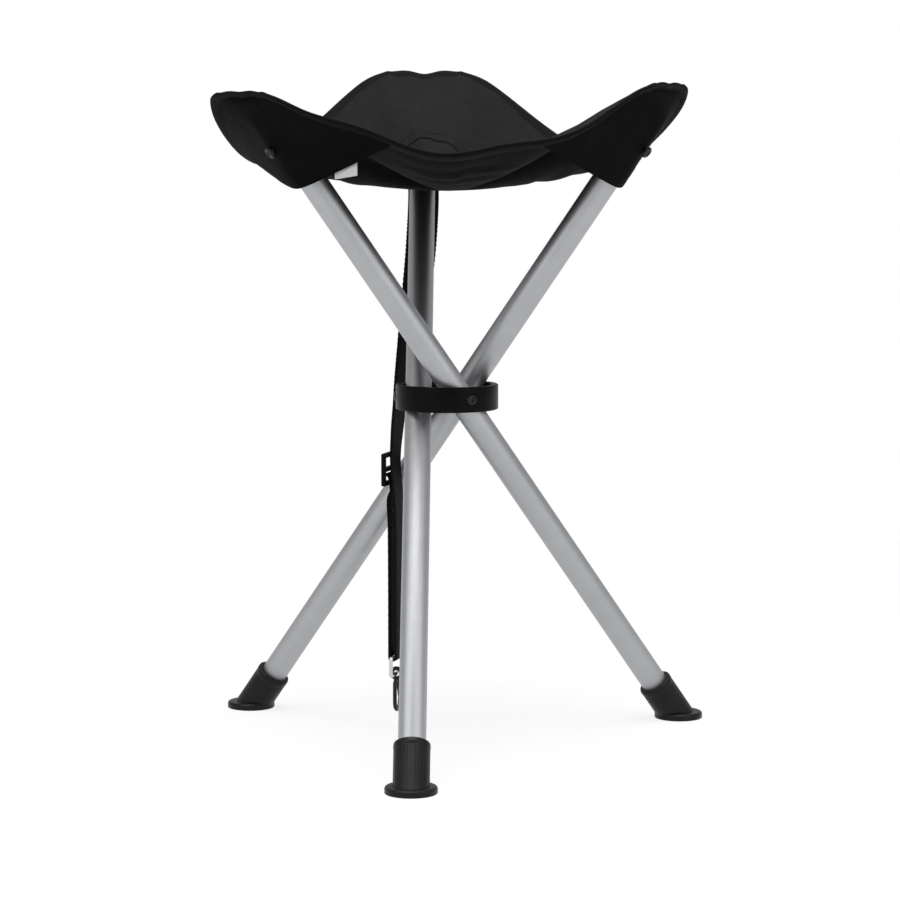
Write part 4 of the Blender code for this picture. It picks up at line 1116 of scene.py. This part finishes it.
# A pocket is sewn under each corner. The end of a tube stands in it, and the cloth is drawn
# tight in a soft ridge under the tube, where one rivet holds it. Its mouth has a sewn hem.
HEM_FROM_MIDDLE = 0.053
MOUTH_DROP = 0.0155
MOUTH_FROM_END = 0.057
RIVET_PLACE = TOP_LENGTH - 0.0218
RIVET_HEAD = 0.0045
SNUG = TUBE_RADIUS + CLOTH / 2 + 0.0021


def ridge_line(leg, inverse):
    """The pocket's lowest line, from its mouth to the tip, as places along the tube."""
    tip = inverse @ (rim_point(leg, EAR_REACH, 0.0)[0] + HUB_AXIS)
    near_tip = BINDING_HALF_WIDTH * 2.4
    return [(TOP_LENGTH - MOUTH_FROM_END, MOUTH_DROP), (RIVET_PLACE - RIVET_HEAD * 2, SNUG),
            (RIVET_PLACE + RIVET_HEAD * 2, SNUG), (TOP_LENGTH + 0.010, SNUG),
            (tip.z - near_tip, -tip.y + near_tip / 2)]


def pocket_grid(leg, edge_steps, corner_steps, tip_steps, across_steps):
    """Rows of points over a pocket, from one bound edge over the ridge to the other."""
    outline = ear_outline(leg, HEM_FROM_MIDDLE, edge_steps, corner_steps, tip_steps)
    frames = rim_frames(outline)
    inverse = leg_matrix(leg).inverted()
    line = ridge_line(leg, inverse)
    edges = []
    along = []
    for (rim, rise, reach, side), (out, upward) in zip(outline, frames):
        edges.append(rim + HUB_AXIS - out * (BINDING_HALF_WIDTH * 0.8)
                     - upward * ((CLOTH + CLOTH_GAP) / 2.0))
        along.append((inverse @ (rim + HUB_AXIS)).z)
    half = len(outline) // 2
    rows = []
    for i in range(half + 1):
        other = len(outline) - 1 - i
        reached = along[i] + along[other] - along[0] - along[-1]
        share = reached / (2.0 * along[half] - along[0] - along[-1])
        place = line[0][0] + (line[-1][0] - line[0][0]) * share
        drop = np.interp(place, [p for p, d in line], [d for p, d in line])
        ridge = leg_matrix(leg) @ Vector((0.0, -drop, place))
        soft = 0.07 * (1.0 - share) + 0.03 + 2.5 * max(share - 0.8, 0.0)
        row = []
        for k in range(-across_steps, across_steps + 1):
            t = k / across_steps
            bow = math.sqrt(t * t + soft * soft)
            full = math.sqrt(1.0 + soft * soft)
            left = (bow - t) / (full + 1.0) if t < 0 else (bow - t) / 2.0
            right = (bow + t) / (full + 1.0) if t > 0 else (bow + t) / 2.0
            row.append(ridge + (edges[i] - ridge) * left + (edges[other] - ridge) * right)
        rows.append(row)
    return np.array([[tuple(p) for p in row] for row in rows]), inverse


pocket_pieces = {}
for leg in LEG_TURNS:
    middle, inverse = pocket_grid(leg, 26, 12, 8, 26)
    rows, columns = middle.shape[:2]
    places = np.zeros((rows, columns, 2))
    half = np.full((rows, columns), CLOTH / 2)
    below = leg_matrix(leg).to_3x3() @ Vector((0.0, -1.0, 0.0))
    for i in range(rows):
        from_mouth = np.linalg.norm(middle[i, columns // 2] - middle[0, columns // 2])
        for j in range(columns):
            from_edge = np.linalg.norm(middle[i, j] - middle[i, 0])
            places[i, j] = (from_edge, np.linalg.norm(middle[i, j] - middle[0, j]))
            point = Vector(middle[i, j])
            t = abs(2.0 * j / (columns - 1) - 1.0)
            soft = 0.0006 * noise.noise(point * 35.0) + 0.0003 * noise.noise(point * 110.0)
            envelope = min((1.0 - t) / 0.12, 1.0) * min(t / 0.25, 1.0)
            middle[i, j] += np.array(below) * (soft * envelope)
        if from_mouth < 0.009:
            half[i] += 0.0004
    # The pockets take the darker weave, with painted shade.
    pocket = shell("pocket_panel_" + leg, middle, half, places, shaded_face_weave, False)
    pocket_pieces[leg] = pocket
    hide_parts("corner_pocket_" + leg)


# A domed rivet with a pressed centre goes through the pocket's ridge into the tube's under
# side. It is steel, lacquered black.
rings = [(0.0024, TUBE_BORE - 0.0028), (0.0024, TUBE_BORE - 0.0009), (0.0019, TUBE_BORE - 0.0009)]
rivet_under = SNUG + CLOTH / 2 + 0.0009
rings += [(0.0019, rivet_under), (RIVET_HEAD, rivet_under), (RIVET_HEAD, rivet_under + 0.0004)]
rings += rounded(RIVET_HEAD, rivet_under + 0.0004, 0.0016, 0.0016, 8)
rings += [(RIVET_HEAD * 0.52, rivet_under + 0.0019), (RIVET_HEAD * 0.44, rivet_under + 0.0012),
          (RIVET_HEAD * 0.12, rivet_under + 0.0009)]
rivet = turned("rivet", rings, 56, black_oxide)
settle(rivet, Matrix.Translation((0.0, 0.0, RIVET_PLACE)) @ ALONG_MINUS_Y)
on_each_leg((rivet, "domed_rivet_", "pocket_rivet_", "black_steel"))


# A small blank care label of white satin ribbon is caught in the hem of the front left
# pocket and hangs under it. It is left plain.
label_ribbon, tree, shader, place = material("white_satin_ribbon", 0.55, by_uv=True)
threads = bands(tree, place, "X", 0.0007, 0.4)
tinted(tree, shader, threads, "D9DADC", "F0F0F1")
bumped(tree, shader, threads, 0.2, 0.0002)
hem = rim_point("a", *edge_place(HEM_FROM_MIDDLE))[0] + HUB_AXIS
mouth = leg_matrix("a") @ Vector((0.0, -MOUTH_DROP, TOP_LENGTH - MOUTH_FROM_END))
LABEL_PLACE = 0.36
LABEL_WIDTH = 0.024
label_start = hem.lerp(mouth, LABEL_PLACE)
label_end = hem.lerp(mouth, LABEL_PLACE + LABEL_WIDTH / (mouth - hem).length)
label_rows = 10
label_columns = 16
middle = np.zeros((label_rows + 1, label_columns + 1, 3))
places = np.zeros((label_rows + 1, label_columns + 1, 2))
for i in range(label_rows + 1):
    down = i / label_rows
    for j in range(label_columns + 1):
        share = j / label_columns
        curl = 0.0005 * math.sin(share * math.pi * 1.5) * down
        point = label_start.lerp(label_end, share)
        point += Vector((0.0, 0.003 - curl, 0.001 - (0.0115 - 0.0055 * share) * down))
        middle[i, j] = tuple(point)
        places[i, j] = (share * LABEL_WIDTH, down * 0.010)
label = shell("blank_label", middle, np.full(middle.shape[:2], 0.0002), places, label_ribbon, False)
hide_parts("care_label")


for leg in LEG_TURNS:
    kite = seat_pieces[leg]
    pocket = pocket_pieces[leg]
    sewn_on = [binding_pieces[leg]] + stitch_pieces[leg]
    for piece in [kite, pocket] + sewn_on:
        follow_leg(piece)
follow_leg(label)


# The setting: a plain pale floor and backdrop, which the camera and the metal both see as
# white, and soft studio light from both sides of the front.
stage_white, tree, shader, spot = material("studio_white", 0.9)
paths = node(tree, "LightPath", {}, {})
paper = node(tree, "Mix", {"data_type": "RGBA"}, {"Factor": paths.outputs["Is Camera Ray"],
                                                  "A": linear("A8A8A8"), "B": linear("FAFAFA")})
tree.links.new(paper.outputs["Result"], shader.inputs["Base Color"])
seen = node(tree, "Math", {"operation": "MAXIMUM"},
            {0: paths.outputs["Is Camera Ray"], 1: paths.outputs["Is Glossy Ray"]}).outputs[0]
seen = node(tree, "Math", {"operation": "MAXIMUM"},
            {0: seen, 1: paths.outputs["Is Transmission Ray"]}).outputs[0]
away = node(tree, "VectorMath", {"operation": "LENGTH"}, {0: spot}).outputs["Value"]
blank = node(tree, "MapRange", {"interpolation_type": "SMOOTHSTEP"},
             {"Value": away, "From Min": 0.35, "From Max": 1.3, "To Min": 0.80, "To Max": 1.0})
share = node(tree, "Math", {"operation": "MULTIPLY"}, {0: seen, 1: blank.outputs[0]}).outputs[0]
glow = node(tree, "Emission", {}, {"Color": (1.0, 1.0, 1.0, 1.0), "Strength": 1.0}).outputs[0]
mixed = node(tree, "MixShader", {}, {0: share, 1: shader.outputs[0], 2: glow}).outputs[0]
tree.links.new(mixed, tree.nodes["Material Output"].inputs["Surface"])
bpy.ops.object.select_all(action="DESELECT")
bpy.ops.mesh.primitive_plane_add(size=16.0)
floor = bpy.context.object
floor.name = "studio_floor"
floor.data.materials.append(stage_white)

# The feet drop as the legs fold, so the floor keeps level with the front foot's outer edge.
bpy.ops.object.select_all(action="DESELECT")
bpy.ops.object.empty_add(location=HUB_AXIS + Vector((
    -WAIST, -HUB_HEIGHT * math.tan(LEAN) - FLANGE_RADIUS, 0.0)))
sole_edge = bpy.context.object
sole_edge.name = "front_sole_edge"
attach(sole_edge, "leg_c")
level_with = floor.constraints.new("COPY_LOCATION")
level_with.target = sole_edge
level_with.use_x = False
level_with.use_y = False

world = bpy.data.worlds.new("studio")
bpy.context.scene.world = world
world.use_nodes = True
tree = world.node_tree
tree.nodes.clear()
paths = node(tree, "LightPath", {}, {})
ray = node(tree, "TexCoord", {}, {}).outputs["Generated"]
axis = node(tree, "SeparateXYZ", {}, {"Vector": ray})
front = node(tree, "MapRange", {"interpolation_type": "SMOOTHSTEP"},
             {"Value": axis.outputs["Y"], "From Min": 0.7, "From Max": -0.7, "To Min": 0.50,
              "To Max": 0.34}).outputs[0]
plain = node(tree, "Background", {}, {"Color": (1.0, 1.0, 1.0, 1.0), "Strength": front}).outputs[0]
white = node(tree, "Background", {}, {"Color": (1.0, 1.0, 1.0, 1.0), "Strength": 1.0}).outputs[0]
mixed = node(tree, "MixShader", {},
             {0: paths.outputs["Is Camera Ray"], 1: plain, 2: white}).outputs[0]
node(tree, "OutputWorld", {}, {"Surface": mixed})

for name, place, size, power in (
        ("key_softbox", (-1.7, -1.65, 1.5), 2.3, 22.0),
        ("fill_softbox", (1.85, -1.55, 1.3), 2.3, 19.0),
        ("top_softbox", (0.0, -0.3, 2.3), 1.8, 56.0)):
    bpy.ops.object.light_add(type="AREA", location=place)
    lamp = bpy.context.object
    lamp.name = name
    lamp.data.size = size
    lamp.data.energy = power
    aim = Vector((0.0, 0.0, 0.28)) - Vector(place)
    lamp.rotation_euler = aim.to_track_quat("-Z", "Y").to_euler()
bpy.context.scene.view_settings.view_transform = "Standard"
